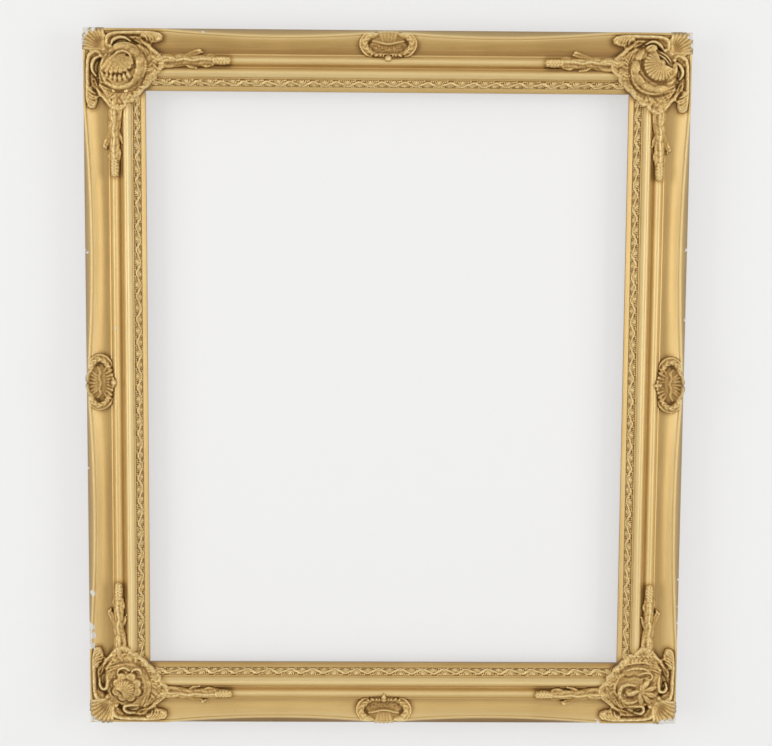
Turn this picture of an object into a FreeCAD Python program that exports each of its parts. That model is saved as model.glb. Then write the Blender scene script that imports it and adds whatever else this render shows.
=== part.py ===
import FreeCAD, Part
import math
import os
from FreeCAD import Vector

# Ornate gilded picture frame in millimetres.
# X runs to the right, Z up, and the front faces -Y.
# The origin is the centre of the sight opening, on the plane of the rails' backs.

# Picture and rebate
picture_width = 508.0
picture_height = 610.0
picture_clearance = 1.0
rebate_lip = 6.0
rebate_depth = 10.0

# Members of the moulding, from the sight edge outwards: width, rise and crown of each
sight_edge_thick = 5.0
fillet_width = 4.3
fillet_rise = 2.6
quirk_width = 0.7
quirk_drop = 0.6
bed_width = 6.6
bed_rise = 6.6
groove_width = 0.7
ogee_width = 9.9
ogee_rise = 3.0
ogee_crown = 5.5
dip_width = 0.5
dip_drop = 0.8
bead_width = 1.4
bead_drop = 0.5
bead_crown = 0.8
valley_width = 0.6
valley_drop = 0.6
torus_width = 10.4
torus_drop = 0.3
torus_crown = 5.3
ledge_width = 1.3
ledge_drop = 0.2
step_width = 0.5
step_drop = 3.2

# Swept outer part of the rail, at the middle of an arc where the rim lies deepest
cove_width = 14.5
cove_rise = 7.6
cove_sag = 2.2
rim_groove_width = 0.6
rim_groove_drop = 0.2
rim_bead_width = 3.2
rim_bead_rise = 1.2
rim_bead_crown = 1.7
band_width = 6.3
band_drop = 4.6
sweep_sagitta = 5.5
sweep_steps = 3
arc_facets = 4

# Running ornament in its bed: a repeat swells and hollows
leaf_pitch = 24.0
leaf_relief = 1.5
leaf_hollow = 0.8
strip_margin = 0.4

# Corner castings
corner_reach = 82.0
corner_lift = 3.0
boss_radius = 23.0
boss_height = 3.5
shell_radius = 18.0
shell_height = 4.5
scroll_width = 6.5
scroll_height = 3.0
fan_radius = 29.0
fan_height = 3.6

# Spray arms on the torus
spray_length = 74.0
spray_width = 9.4
spray_height = 3.4
sprig_length = 18.0
sprig_width = 4.6

# Centre cartouches
cartouche_length = 60.0
cartouche_width = 31.0
cartouche_height = 3.2
cartouche_shell_radius = 13.0
cartouche_shell_height = 3.0
pendant_radius = 3.0

# V nails across the mitres
nail_wing = 7.0
nail_thick = 0.8
nail_depth = 10.0

# Screws
screw_radius = 1.75
screw_length = 12.0
screw_head_radius = 3.4
screw_head_height = 1.8
screw_tip_radius = 0.3
screw_sides = 12

# Hangers
hanger_drop = 240.0
hanger_setback = 28.0
strap_width = 12.0
strap_length = 22.0
strap_thick = 1.0
strap_chamfer = 3.0
eye_wrap = 285
eye_steps = 10
ring_wire_radius = 1.25
ring_clearance = 0.3
ring_side_gap = 1.0
ring_corner_radius = 3.0
ring_leg = 4.0
ring_sides = 8
ring_corner_steps = 2
ring_bow_steps = 8

# Turn buttons
button_thick = 1.0
button_clearance = 0.3
button_radius = 5.0
button_tab_radius = 3.2
button_tab_length = 18.0
button_setback = 9.0
button_steps = 12

# One overrun for all cuts, and how far out of plane a flat facet may be
overrun = 2.0
flatness = 1e-7
full_turn = 360

# Sight opening
sight_width = picture_width + 2 * picture_clearance - 2 * rebate_lip
sight_height = picture_height + 2 * picture_clearance - 2 * rebate_lip
sight_edge_front = rebate_depth + sight_edge_thick

# Each member is its width, its rise and the crown of its arc over the chord
inner_members = [
    (fillet_width, fillet_rise, 0),
    (quirk_width, -quirk_drop, 0),
    (bed_width, bed_rise, 0),
    (groove_width, 0, 0),
    (ogee_width, ogee_rise, ogee_crown),
    (dip_width, -dip_drop, 0),
    (bead_width, -bead_drop, bead_crown),
    (valley_width, -valley_drop, 0),
    (torus_width, -torus_drop, torus_crown),
    (ledge_width, -ledge_drop, 0),
    (step_width, -step_drop, 0),
]


def walk(members, start):
    """Corners of a run of members, each as distance outwards and height."""
    places = [start]
    for width, rise, crown in members:
        out, height = places[-1]
        places.append((out + width, height + rise))
    return places


inner_places = walk(inner_members, (0, sight_edge_front))
bed_inner, bed_outer, ogee_inner, ogee_outer = inner_places[2:6]
torus_inner, torus_outer = inner_places[8:10]
cove_start = inner_places[-1]

ogee_line = (ogee_inner[0] + ogee_outer[0]) / 2
ogee_crest = (ogee_inner[1] + ogee_outer[1]) / 2 + ogee_crown
torus_line = (torus_inner[0] + torus_outer[0]) / 2
torus_crest = (torus_inner[1] + torus_outer[1]) / 2 + torus_crown


def swept_members(shift):
    """Outer members where the rim lies shift further out than at its deepest."""
    return [
        (cove_width + shift, cove_rise, -cove_sag),
        (rim_groove_width, -rim_groove_drop, 0),
        (rim_bead_width, rim_bead_rise, rim_bead_crown),
        (band_width - shift, -band_drop, 0),
    ]


end_places = walk(swept_members(sweep_sagitta), cove_start)
rim_outer = end_places[3]
rail_width, side_height = end_places[4]
rim_line = (end_places[2][0] + rim_outer[0]) / 2
rim_crest = (end_places[2][1] + rim_outer[1]) / 2 + rim_bead_crown

outer_width = sight_width + 2 * rail_width
outer_height = sight_height + 2 * rail_width

# Each side: turn about Y from the bottom rail, length of its sight edge, distance across the opening
sides = {
    "bottom": (0, sight_width, sight_height),
    "left": (90, sight_height, sight_width),
    "top": (180, sight_width, sight_height),
    "right": (270, sight_height, sight_width),
}

# Each corner: direction from the centre along X and along Z
corners = {
    "bottom_left": (-1, -1),
    "bottom_right": (1, -1),
    "top_left": (-1, 1),
    "top_right": (1, 1),
}

# Spray arms at the two ends of each rail, named by corner and rail
spray_ends = {
    "bottom": ("bottom_left_across", "bottom_right_across"),
    "left": ("top_left_upright", "bottom_left_upright"),
    "top": ("top_right_across", "top_left_across"),
    "right": ("bottom_right_upright", "top_right_upright"),
}


def rail_point(along, out, height):
    """Point of the bottom rail, seen from the middle of its sight edge."""
    return Vector(along, -height, -out)


def corner_point(along, across, height):
    """Point of the bottom left corner, seen from the outer corner."""
    return Vector(along, -height, across)


def polygon_wire(points):
    return Part.makePolygon(points + points[:1])


def polygon_face(points):
    return Part.Face(polygon_wire(points))


def joined_edges(points):
    return [Part.LineSegment(here, there).toShape() for here, there in zip(points, points[1:])]


def arc_points(arc, hollow):
    """Corners just outside the wood along an arc: chords over a hollow one, tangents over a round one."""
    centre = arc.Curve.Center
    first = arc.FirstParameter
    turn = (arc.LastParameter - first) / arc_facets
    points = []
    for step in range(arc_facets):
        if hollow:
            points.append(arc.valueAt(first + turn * (step + 1)))
        else:
            spoke = arc.valueAt(first + turn * (step + 0.5)) - centre
            points.append(centre + spoke / math.cos(turn / 2))
    return points if hollow else points + [arc.valueAt(arc.LastParameter)]


def member_runs(members, start, along):
    """First, middle and last point of each member, in the plane across the rail at along."""
    places = walk(members, start)
    runs = []
    for (width, rise, crown), here, there in zip(members, places, places[1:]):
        middle = ((here[0] + there[0]) / 2, (here[1] + there[1]) / 2 + crown)
        runs.append((crown, rail_point(along, *here), rail_point(along, *middle), rail_point(along, *there)))
    return runs


def member_points(members, start, along):
    """Corners of a run of members with their arcs in flat facets."""
    points = [rail_point(along, *start)]
    for crown, first, middle, last in member_runs(members, start, along):
        points += arc_points(Part.Arc(first, middle, last).toShape(), crown < 0) if crown else [last]
    return points


def member_edges(members, start, along):
    """Edges of a run of members with their true arcs."""
    edges = []
    for crown, first, middle, last in member_runs(members, start, along):
        edge = Part.Arc(first, middle, last) if crown else Part.LineSegment(first, last)
        edges.append(edge.toShape())
    return edges


def inner_wire(along, faceted):
    """Section of the straight inner moulding with its rebate."""
    rest = [
        rail_point(along, *cove_start),
        rail_point(along, cove_start[0], 0),
        rail_point(along, rebate_lip, 0),
        rail_point(along, rebate_lip, rebate_depth),
        rail_point(along, 0, rebate_depth),
        rail_point(along, 0, sight_edge_front),
    ]
    if faceted:
        return polygon_wire(member_points(inner_members, (0, sight_edge_front), along) + rest[1:-1])
    return Part.Wire(member_edges(inner_members, (0, sight_edge_front), along) + joined_edges(rest))


def swept_points(along, shift):
    """Section of the cove, the rim and the outer side, in flat facets."""
    members = member_points(swept_members(shift), cove_start, along)
    return members + [rail_point(along, rail_width, 0), rail_point(along, cove_start[0], 0)]


def mitre_prism(run):
    """Room between the two mitre planes of a rail whose sight edge is run long."""
    far = rail_width + overrun
    ends = [
        rail_point(run / 2 - overrun, -overrun, 0),
        rail_point(run / 2 + far, far, 0),
        rail_point(-run / 2 - far, far, 0),
        rail_point(-run / 2 + overrun, -overrun, 0),
    ]
    return polygon_face(ends).extrude(Vector(0, -rim_crest - overrun, 0))


def rail_body(run, faceted=False):
    """Straight inner moulding with a swept rim: an arc on each half, straight under the corner castings.

    The faceted body is the bed that the castings are fitted to, a hair outside the round members."""
    half = run / 2 + rail_width
    arc_end = half - corner_reach
    sections = [swept_points(-half, sweep_sagitta)]
    for step in range(-2 * sweep_steps, 2 * sweep_steps + 1):
        along = arc_end * step / (2 * sweep_steps)
        from_middle = (abs(along) - arc_end / 2) / (arc_end / 2)
        sections.append(swept_points(along, sweep_sagitta * from_middle ** 2))
    sections.append(swept_points(half, sweep_sagitta))
    moulding = Part.Face(inner_wire(-half, faceted)).extrude(Vector(2 * half, 0, 0))
    return moulding.fuse(levels_loft(sections)).common(mitre_prism(run)).removeSplitter()


def on_side(shape, side):
    """Moves a shape from the bottom rail's own place to its side of the frame."""
    turn, run, across = sides[side]
    placed = shape.copy()
    placed.translate(Vector(0, 0, -across / 2))
    placed.rotate(Vector(0, 0, 0), Vector(0, 1, 0), turn)
    return placed


def on_corner(shape, corner):
    """Moves a shape from the bottom left corner's own place to its corner of the frame."""
    toward_x, toward_z = corners[corner]
    placed = shape
    if toward_x > 0:
        placed = placed.mirror(Vector(0, 0, 0), Vector(1, 0, 0))
    if toward_z > 0:
        placed = placed.mirror(Vector(0, 0, 0), Vector(0, 0, 1))
    placed = placed.copy()
    placed.translate(Vector(toward_x * outer_width / 2, 0, toward_z * outer_height / 2))
    return placed


def across_diagonal(shape):
    """The same shape with along and across exchanged."""
    return shape.mirror(Vector(0, 0, 0), Vector(1, 0, -1))


def biggest(shape):
    """The main solid of a cut shape."""
    return max(shape.Solids, key=lambda solid: solid.Volume)


def flat_facets(quad):
    """One face where four points lie in a plane, and else two triangles over the shorter diagonal."""
    first, second, third, fourth = quad
    normal = (second - first).cross(third - first)
    if normal.Length and abs(normal.dot(fourth - first)) / normal.Length < flatness:
        return [polygon_face(quad)]
    if (third - first).Length < (fourth - second).Length:
        halves = ([first, second, third], [first, third, fourth])
    else:
        halves = ([first, second, fourth], [second, third, fourth])
    return [polygon_face(half) for half in halves]


def band_of_facets(here, there):
    """Flat facets between two closed outlines of as many points."""
    faces = []
    for index in range(len(here)):
        after = (index + 1) % len(here)
        faces += flat_facets([here[index], here[after], there[after], there[index]])
    return faces


def solid_of(faces):
    solid = Part.makeSolid(Part.makeShell(faces))
    return solid if solid.Volume > 0 else solid.reversed()


def levels_loft(outlines):
    """Closed solid through a row of outlines of as many points, in flat facets."""
    faces = [polygon_face(outlines[0]), polygon_face(outlines[-1])]
    for here, there in zip(outlines, outlines[1:]):
        faces += band_of_facets(here, there)
    return solid_of(faces)


def ring_loft(outlines):
    """Closed solid through a row of outlines whose last joins the first."""
    faces = []
    for here, there in zip(outlines, outlines[1:] + outlines[:1]):
        faces += band_of_facets(here, there)
    return solid_of(faces)


# The side ribs of an open shell are shorter than its middle one by this share
fan_side_share = 0.22


def fan_outline(centre, heading, radius, spread, ribs, dip_share, height):
    """Scalloped outline about its hinge: heading in degrees from along towards across."""
    points = []
    steps = 2 * ribs
    closed = spread == full_turn
    for step in range(steps if closed else steps + 1):
        angle = math.radians(heading - spread / 2 + spread * step / steps)
        aside = 0 if closed else abs(2 * step / steps - 1)
        reach = radius * (1 - fan_side_share * aside ** 2) * (1 if step % 2 else 1 - dip_share)
        points.append(corner_point(
            centre[0] + reach * math.cos(angle), centre[1] + reach * math.sin(angle), height))
    if not closed:
        points.append(corner_point(centre[0], centre[1], height))
    return points


# Shell levels: share of its radius, share of its height, depth of the dip between two ribs
shell_level_shares = [(0.97, 0.4, 0.13), (0.66, 0.86, 0.10), (0.24, 1.0, 0.04)]


def fan_shell(centre, heading, radius, spread, ribs, foot, top):
    """Ribbed scallop shell that stands on foot and crowns at top."""
    outlines = [fan_outline(centre, heading, radius, spread, ribs, shell_level_shares[0][2], foot)]
    base = top[0]
    for radius_share, height_share, dip_share in shell_level_shares:
        height = base + (top[1] - base) * height_share
        outlines.append(fan_outline(centre, heading, radius * radius_share, spread, ribs, dip_share, height))
    return levels_loft(outlines)


# Boss levels: share of its radius and of its height
boss_level_shares = [(1.0, 0.0), (0.88, 0.7), (0.62, 1.0)]
boss_sides = 12


def oval_outline(centre, half_along, half_across, height):
    points = []
    for step in range(boss_sides):
        angle = 2 * math.pi * step / boss_sides
        points.append(corner_point(
            centre[0] + half_along * math.cos(angle), centre[1] + half_across * math.sin(angle), height))
    return points


def oval_boss(centre, half_along, half_across, foot, base, top):
    """Rounded oval boss that stands on foot, with its dome between base and top."""
    outlines = [oval_outline(centre, half_along, half_across, foot)]
    for radius_share, height_share in boss_level_shares:
        height = base + (top - base) * height_share
        outlines.append(oval_outline(centre, half_along * radius_share, half_across * radius_share, height))
    return levels_loft(outlines)


# Section of a roll: share of its half width and of its height above its base
roll_section_shares = [(-1.0, 0.35), (-0.55, 0.9), (0.0, 1.0), (0.55, 0.9), (1.0, 0.35)]


def roll(stations, foot, base):
    """Rounded bar of changing width: each station is along, across, half width and height above base."""
    sections = []
    for index, (along, across, half, tall) in enumerate(stations):
        before = stations[max(index - 1, 0)]
        after = stations[min(index + 1, len(stations) - 1)]
        heading = math.atan2(after[1] - before[1], after[0] - before[0])
        side_along = -math.sin(heading)
        side_across = math.cos(heading)
        points = [corner_point(along - half * side_along, across - half * side_across, foot)]
        for side_share, tall_share in roll_section_shares:
            offset = half * side_share
            points.append(corner_point(
                along + offset * side_along, across + offset * side_across, base + tall * tall_share))
        points.append(corner_point(along + half * side_along, across + half * side_across, foot))
        sections.append(points)
    return levels_loft(sections)


def raised_moulding():
    """Skin over both rails of a corner, corner_lift above their crests, mitred on the diagonal."""
    heights = [
        (0, 0),
        (0, sight_edge_front + corner_lift),
        (bed_outer[0], bed_outer[1] + corner_lift),
        (ogee_line, ogee_crest + corner_lift),
        (torus_line, torus_crest + corner_lift),
        (cove_start[0], cove_start[1] + 2 * corner_lift),
        (rim_line, rim_crest + corner_lift),
        (rail_width, side_height + corner_lift),
        (rail_width, 0),
    ]
    length = corner_reach + overrun
    section = [corner_point(0, rail_width - out, height) for out, height in heights]
    straight = polygon_face(section).extrude(Vector(length, 0, 0))
    wedge = polygon_face([
        corner_point(0, 0, 0),
        corner_point(length, 0, 0),
        corner_point(length, length, 0),
    ]).extrude(Vector(0, -rim_crest - length, 0))
    half = straight.common(wedge)
    return half.fuse(across_diagonal(half)).removeSplitter()


# Outline of a corner casting from the outer corner to its diagonal, as shares of its reach
corner_outline_shares = [
    (0.24, 0.24), (0.30, 0.06), (0.92, 0.05), (0.98, 0.10), (0.96, 0.17), (0.88, 0.22),
    (0.90, 0.28), (0.97, 0.35), (0.98, 0.49), (0.96, 0.58), (0.88, 0.68), (0.76, 0.76),
]

# Scroll along the outer edge: along, across, width and height as shares of reach, width and height
corner_scroll_shares = [
    (0.27, 0.21, 0.30, 0.5), (0.29, 0.15, 0.42, 0.8), (0.37, 0.10, 0.5, 1.0), (0.56, 0.085, 0.5, 1.0),
    (0.76, 0.085, 0.5, 1.0), (0.90, 0.10, 0.5, 1.0), (0.945, 0.145, 0.42, 0.9), (0.89, 0.185, 0.3, 0.6),
]

boss_place_share = 0.46
shell_hinge_share = 0.57
shell_ribs = 9
rosette_ribs = 10
fan_hinge_share = 0.31
fan_ribs = 5
fan_spread = 76
shell_spread = 200
diagonal_heading = 225


def corner_casting(rosette):
    """Cartouche over the mitre with a shell on its boss and a scroll along each outer edge."""
    foot = sight_edge_front
    half_outline = [(along * corner_reach, across * corner_reach) for along, across in corner_outline_shares]
    other_half = [(across, along) for along, across in reversed(half_outline[1:-1])]
    outline = [corner_point(along, across, 0) for along, across in half_outline + other_half]
    skin = polygon_face(outline).extrude(Vector(0, -rim_crest - corner_reach, 0)).common(raised_moulding())
    middle = boss_place_share * corner_reach
    boss_base = torus_crest + corner_lift
    boss_top = boss_base + boss_height
    boss = oval_boss((middle, middle), boss_radius, boss_radius, foot, boss_base - boss_height, boss_top)
    if rosette:
        shell = fan_shell((middle, middle), diagonal_heading, shell_radius, full_turn, rosette_ribs,
                          foot, (boss_top - boss_height / 2, boss_top + shell_height))
    else:
        hinge = shell_hinge_share * corner_reach
        shell = fan_shell((hinge, hinge), diagonal_heading, shell_radius, shell_spread, shell_ribs,
                          foot, (boss_top - boss_height / 2, boss_top + shell_height))
    stations = [
        (along * corner_reach, across * corner_reach, wide * scroll_width, tall * scroll_height + corner_lift)
        for along, across, wide, tall in corner_scroll_shares
    ]
    scroll = roll(stations, foot, rim_crest)
    return skin.fuse([boss, shell, scroll, across_diagonal(scroll)])


def corner_fan():
    """Small scallop fan that spreads over the outer corner."""
    hinge = fan_hinge_share * corner_reach
    base = rim_crest + corner_lift / 2
    return fan_shell((hinge, hinge), diagonal_heading, fan_radius, fan_spread, fan_ribs,
                     sight_edge_front, (base, base + fan_height))


# Spray arm: distance from its root and offset towards the rim, width and height,
# as shares of its length, width and height
spray_shares = [
    (0.0, 0.0, 0.12, 0.5), (0.04, 0.0, 0.40, 0.9), (0.12, -0.05, 0.52, 1.0), (0.25, -0.02, 0.48, 0.9),
    (0.36, 0.04, 0.34, 0.7), (0.50, 0.04, 0.46, 0.9), (0.62, 0.0, 0.50, 1.0), (0.76, 0.0, 0.42, 0.8),
    (0.86, 0.0, 0.50, 1.0), (0.95, 0.0, 0.40, 0.9), (1.0, 0.0, 0.14, 0.5),
]

# Sprig that leaves the arm towards the cove: along its length and across it, width, height
sprig_root_share = 0.36
sprig_shares = [(0.0, 0.0, 0.25, 0.6), (0.35, 0.12, 0.4, 0.8), (0.75, 0.40, 0.42, 0.9), (1.0, 0.62, 0.2, 0.7)]


def spray_arm():
    """Leafy arm along the bottom rail's torus, from the corner casting outwards, with its sprig."""
    root = corner_reach
    line = rail_width - torus_line
    base = torus_crest - torus_crown / 2
    foot = sight_edge_front
    arm = roll([
        (root + along * spray_length, line - aside * spray_width, wide * spray_width,
         tall * spray_height + torus_crown / 2)
        for along, aside, wide, tall in spray_shares
    ], foot, base)
    sprig_root = root + sprig_root_share * spray_length
    sprig = roll([
        (sprig_root + along * sprig_length, line - aside * sprig_length, wide * sprig_width,
         tall * spray_height + torus_crown / 2)
        for along, aside, wide, tall in sprig_shares
    ], foot, base)
    return arm.fuse(sprig)


# Centre cartouche: scroll on each flank, as shares of its half length, its width, and the roll's size
cartouche_scroll_shares = [
    (0.28, 0.88, 0.25, 0.6), (0.50, 0.89, 0.35, 0.9), (0.76, 0.80, 0.45, 1.0), (0.88, 0.56, 0.45, 1.0),
    (0.76, 0.30, 0.45, 1.0), (0.50, 0.12, 0.40, 0.9), (0.26, 0.10, 0.3, 0.6),
]
cartouche_body_share = 0.86
cartouche_ribs = 7
cartouche_spread = 170
cartouche_heading = 90
cartouche_hinge_share = 0.30


def cartouche():
    """Oval cartouche at the middle of a rail: shell, two scrolls and a ball pendant towards the sight."""
    half = cartouche_length / 2
    inner_edge = rim_outer[0] - cartouche_width
    foot = sight_edge_front
    boss_base = torus_crest
    boss_top = boss_base + cartouche_height
    middle = (0, inner_edge + cartouche_width / 2)
    body = oval_boss(middle, cartouche_body_share * half, cartouche_body_share * cartouche_width / 2, foot,
                     boss_base - cartouche_height, boss_top)
    shell = fan_shell((0, inner_edge + cartouche_hinge_share * cartouche_width), cartouche_heading,
                      cartouche_shell_radius, cartouche_spread, cartouche_ribs, foot,
                      (boss_top - cartouche_height / 2, boss_top + cartouche_shell_height))
    flank = roll([
        (along * half, inner_edge + across * cartouche_width, wide * scroll_width,
         tall * scroll_height + cartouche_height / 2)
        for along, across, wide, tall in cartouche_scroll_shares
    ], foot, boss_base)
    other_flank = flank.mirror(Vector(0, 0, 0), Vector(1, 0, 0))
    pendant = oval_boss((0, inner_edge), pendant_radius, pendant_radius, foot,
                        boss_base - cartouche_height / 2, boss_top)
    seen_from_rail = body.fuse([shell, flank, other_flank, pendant])
    return seen_from_rail.mirror(Vector(0, 0, 0), Vector(0, 0, 1))


def leaf_strip(run):
    """Running ornament in its bed, swelling and hollowing in turn."""
    first = (bed_inner[0] + strip_margin, bed_inner[1] + strip_margin * bed_rise / bed_width)
    last = (bed_outer[0] - strip_margin, bed_outer[1] - strip_margin * bed_rise / bed_width)
    slope = math.atan2(bed_rise, bed_width)
    half = run / 2 + bed_outer[0]
    count = math.ceil(2 * half / leaf_pitch)
    pitch = 2 * half / count
    sections = []
    for step in range(2 * count + 1):
        relief = leaf_relief if step % 2 else leaf_hollow
        crown = (
            (first[0] + last[0]) / 2 - relief * math.sin(slope),
            (first[1] + last[1]) / 2 + relief * math.cos(slope),
        )
        along = -half + step * pitch / 2
        sections.append([rail_point(along, *place) for place in (first, crown, last)])
    return levels_loft(sections)


# V nails along each mitre, from the outer corner, as shares of the rail's width
nail_place_shares = [0.34, 0.72]


def v_nail(place):
    """Bent steel wedge driven into the bottom left mitre from the back."""
    outline = [
        (0, 0), (nail_wing, 0), (nail_wing, nail_thick),
        (nail_thick, nail_thick), (nail_thick, nail_wing), (0, nail_wing),
    ]
    points = [corner_point(place + along, place + across, 0) for along, across in outline]
    return polygon_face(points).extrude(Vector(0, -nail_depth, 0))


def screw(x, z, seat):
    """Round-head screw driven from the back into the wood, with the underside of its head at seat."""
    levels = [
        (screw_tip_radius, -screw_length),
        (screw_radius, 2 * screw_radius - screw_length),
        (screw_radius, seat),
        (screw_head_radius, seat),
        (screw_head_radius, seat + screw_head_height / 3),
        (screw_head_radius / 2, seat + screw_head_height),
    ]
    outlines = []
    for radius, y in levels:
        circle = arc_of_points((x, z), radius, 0, full_turn, screw_sides)[:-1]
        outlines.append([Vector(across, y, up) for across, up in circle])
    return levels_loft(outlines)


hanger_x = outer_width / 2 - hanger_setback
hanger_z = outer_height / 2 - hanger_drop
eye_bore = ring_wire_radius + ring_clearance
eye_radius = eye_bore + strap_thick
ring_half_width = strap_width / 2 + ring_side_gap + ring_corner_radius
strap_screw_z = hanger_z - ring_corner_radius - ring_leg - ring_half_width / 2 + screw_head_radius


def arc_of_points(centre, radius, start, end, steps):
    """Places on an arc in the plane across X or Y, from start to end in degrees."""
    turns = [math.radians(start + (end - start) * step / steps) for step in range(steps + 1)]
    return [(centre[0] + radius * math.cos(turn), centre[1] + radius * math.sin(turn)) for turn in turns]


def hanger_strap(x):
    """Steel strap with its top end rolled round the bar of the ring, and a hole for its screw."""
    half = strap_width / 2
    foot = hanger_z - strap_length
    eye = (eye_radius, hanger_z)
    outside = arc_of_points(eye, eye_radius, 180, 180 - eye_wrap, eye_steps)
    inside = arc_of_points(eye, eye_bore, 180 - eye_wrap, 180, eye_steps)
    side_view = [(0, foot)] + outside + inside + [(strap_thick, foot)]
    rolled = polygon_face([Vector(x - half, y, z) for y, z in side_view]).extrude(Vector(strap_width, 0, 0))
    top = hanger_z + eye_radius + overrun
    front_view = [
        (x - half, top), (x - half, foot + strap_chamfer), (x - half + strap_chamfer, foot),
        (x + half - strap_chamfer, foot), (x + half, foot + strap_chamfer), (x + half, top),
    ]
    room = polygon_face([Vector(across, 0, z) for across, z in front_view])
    hole = screw(x, strap_screw_z, strap_thick)
    return rolled.common(room.extrude(Vector(0, 2 * eye_radius + overrun, 0))).cut(hole)


def ring_stations(x):
    """Places on the D's centre line, each with the direction out of the D: corners, half circle, corner."""
    bar_end = ring_half_width - ring_corner_radius
    leg_top = hanger_z - ring_corner_radius
    leg_end = leg_top - ring_leg
    bends = [
        (x + bar_end, leg_top, ring_corner_radius, 90, 0, ring_corner_steps),
        (x, leg_end, ring_half_width, 0, -180, ring_bow_steps),
        (x - bar_end, leg_top, ring_corner_radius, 180, 90, ring_corner_steps),
    ]
    stations = []
    for centre_x, centre_z, radius, start, end, steps in bends:
        for step in range(steps + 1):
            angle = math.radians(start + (end - start) * step / steps)
            out = Vector(math.cos(angle), 0, math.sin(angle))
            stations.append((Vector(centre_x, eye_radius, centre_z) + out * radius, out))
    return stations


def hanger_ring(x):
    """D ring of drawn wire, its bar lying in the strap's eye."""
    sections = []
    for centre, out in ring_stations(x):
        turns = [2 * math.pi * (step + 0.5) / ring_sides for step in range(ring_sides)]
        sections.append([
            centre + (out * math.cos(turn) + Vector(0, math.sin(turn), 0)) * ring_wire_radius
            for turn in turns
        ])
    return ring_loft(sections)


def turn_button():
    """Flat steel button about its screw, with its tab along the bottom rail."""
    lean = math.degrees(math.acos((button_radius - button_tab_radius) / button_tab_length))
    outline = arc_of_points((0, 0), button_radius, lean, full_turn - lean, button_steps)
    outline += arc_of_points((button_tab_length, 0), button_tab_radius, -lean, lean, button_steps // 2)
    bore = arc_of_points((0, 0), screw_radius + 2 * button_clearance, 0, full_turn, button_steps)[:-1]
    plate = polygon_face([Vector(along, button_clearance, z) for along, z in outline])
    opening = polygon_face([Vector(along, button_clearance, z) for along, z in bore])
    return plate.cut(opening).extrude(Vector(0, button_thick, 0))


button_line = rebate_lip + button_setback
button_seat = 2 * button_clearance + button_thick


def button_pivot(side):
    """Centre of a turn button's screw, at the middle of its side of the frame."""
    point = Part.Vertex(rail_point(0, button_line, 0))
    return on_side(point, side).Point


def seated(piece, *carriers):
    """The part of a casting that stands on its carriers, fitted to their surface."""
    return biggest(piece.cut(list(carriers)))


def onto_rail_end(shape, run):
    """Moves a shape from the bottom left corner's own place to the left end of a rail that is run long."""
    placed = shape.copy()
    placed.translate(Vector(-run / 2 - rail_width, 0, -rail_width))
    return placed


def mirrored_x(shape):
    return shape.mirror(Vector(0, 0, 0), Vector(1, 0, 0))


def hardware():
    """V nails, hangers and turn buttons with their screws, each in its place."""
    nodes = {}
    nails = []
    for corner in corners:
        for share in nail_place_shares:
            nails.append(on_corner(v_nail(share * rail_width), corner))
    nodes["v_nails"] = Part.makeCompound(nails)
    for name, x in (("left", -hanger_x), ("right", hanger_x)):
        nodes["hanger_strap_" + name] = hanger_strap(x)
        nodes["hanger_ring_" + name] = hanger_ring(x)
    hanger_screws = [screw(x, strap_screw_z, strap_thick) for x in (-hanger_x, hanger_x)]
    nodes["hanger_screws"] = Part.makeCompound(hanger_screws)
    button_screws = []
    for side, (turn, run, across) in sides.items():
        pivot = button_pivot(side)
        button = turn_button()
        button.rotate(Vector(0, 0, 0), Vector(0, 1, 0), turn)
        button.translate(pivot)
        nodes["turn_button_" + side] = button
        button_screws.append(screw(pivot.x, pivot.z, button_seat))
    nodes["turn_button_screws"] = Part.makeCompound(button_screws)
    return nodes


def build():
    """All nodes of the frame by name."""
    nodes = hardware()
    driven = nodes["v_nails"].Solids + nodes["hanger_screws"].Solids + nodes["turn_button_screws"].Solids
    beds = {}
    for side, (turn, run, across) in sides.items():
        bed = rail_body(run, faceted=True)
        beds[side] = on_side(bed, side)
        nodes["rail_" + side] = on_side(rail_body(run), side).cut(driven)
        nodes["leaf_strip_" + side] = on_side(leaf_strip(run).common(mitre_prism(run)), side)
        nodes["cartouche_" + side] = on_side(seated(cartouche(), bed), side)
        arm = seated(onto_rail_end(spray_arm(), run), bed)
        near, far = spray_ends[side]
        nodes["spray_" + near] = on_side(arm, side)
        nodes["spray_" + far] = on_side(mirrored_x(arm), side)
    for height, rosette in (("bottom", True), ("top", False)):
        left = height + "_left"
        carriers = [beds[height], beds["left"], nodes["leaf_strip_" + height], nodes["leaf_strip_left"]]
        casting = seated(on_corner(corner_casting(rosette), left), *carriers)
        fan = seated(on_corner(corner_fan(), left), *carriers, casting)
        nodes["corner_casting_" + left] = casting
        nodes["corner_fan_" + left] = fan
        nodes["corner_casting_" + height + "_right"] = mirrored_x(casting)
        nodes["corner_fan_" + height + "_right"] = mirrored_x(fan)
    return nodes


if __name__ == "__main__":
    os.makedirs("parts", exist_ok=True)
    for node, shape in build().items():
        shape.exportStep(os.path.join("parts", node + ".step"))
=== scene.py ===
import math

import bpy
import numpy as np
from mathutils import Matrix, Vector


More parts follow.
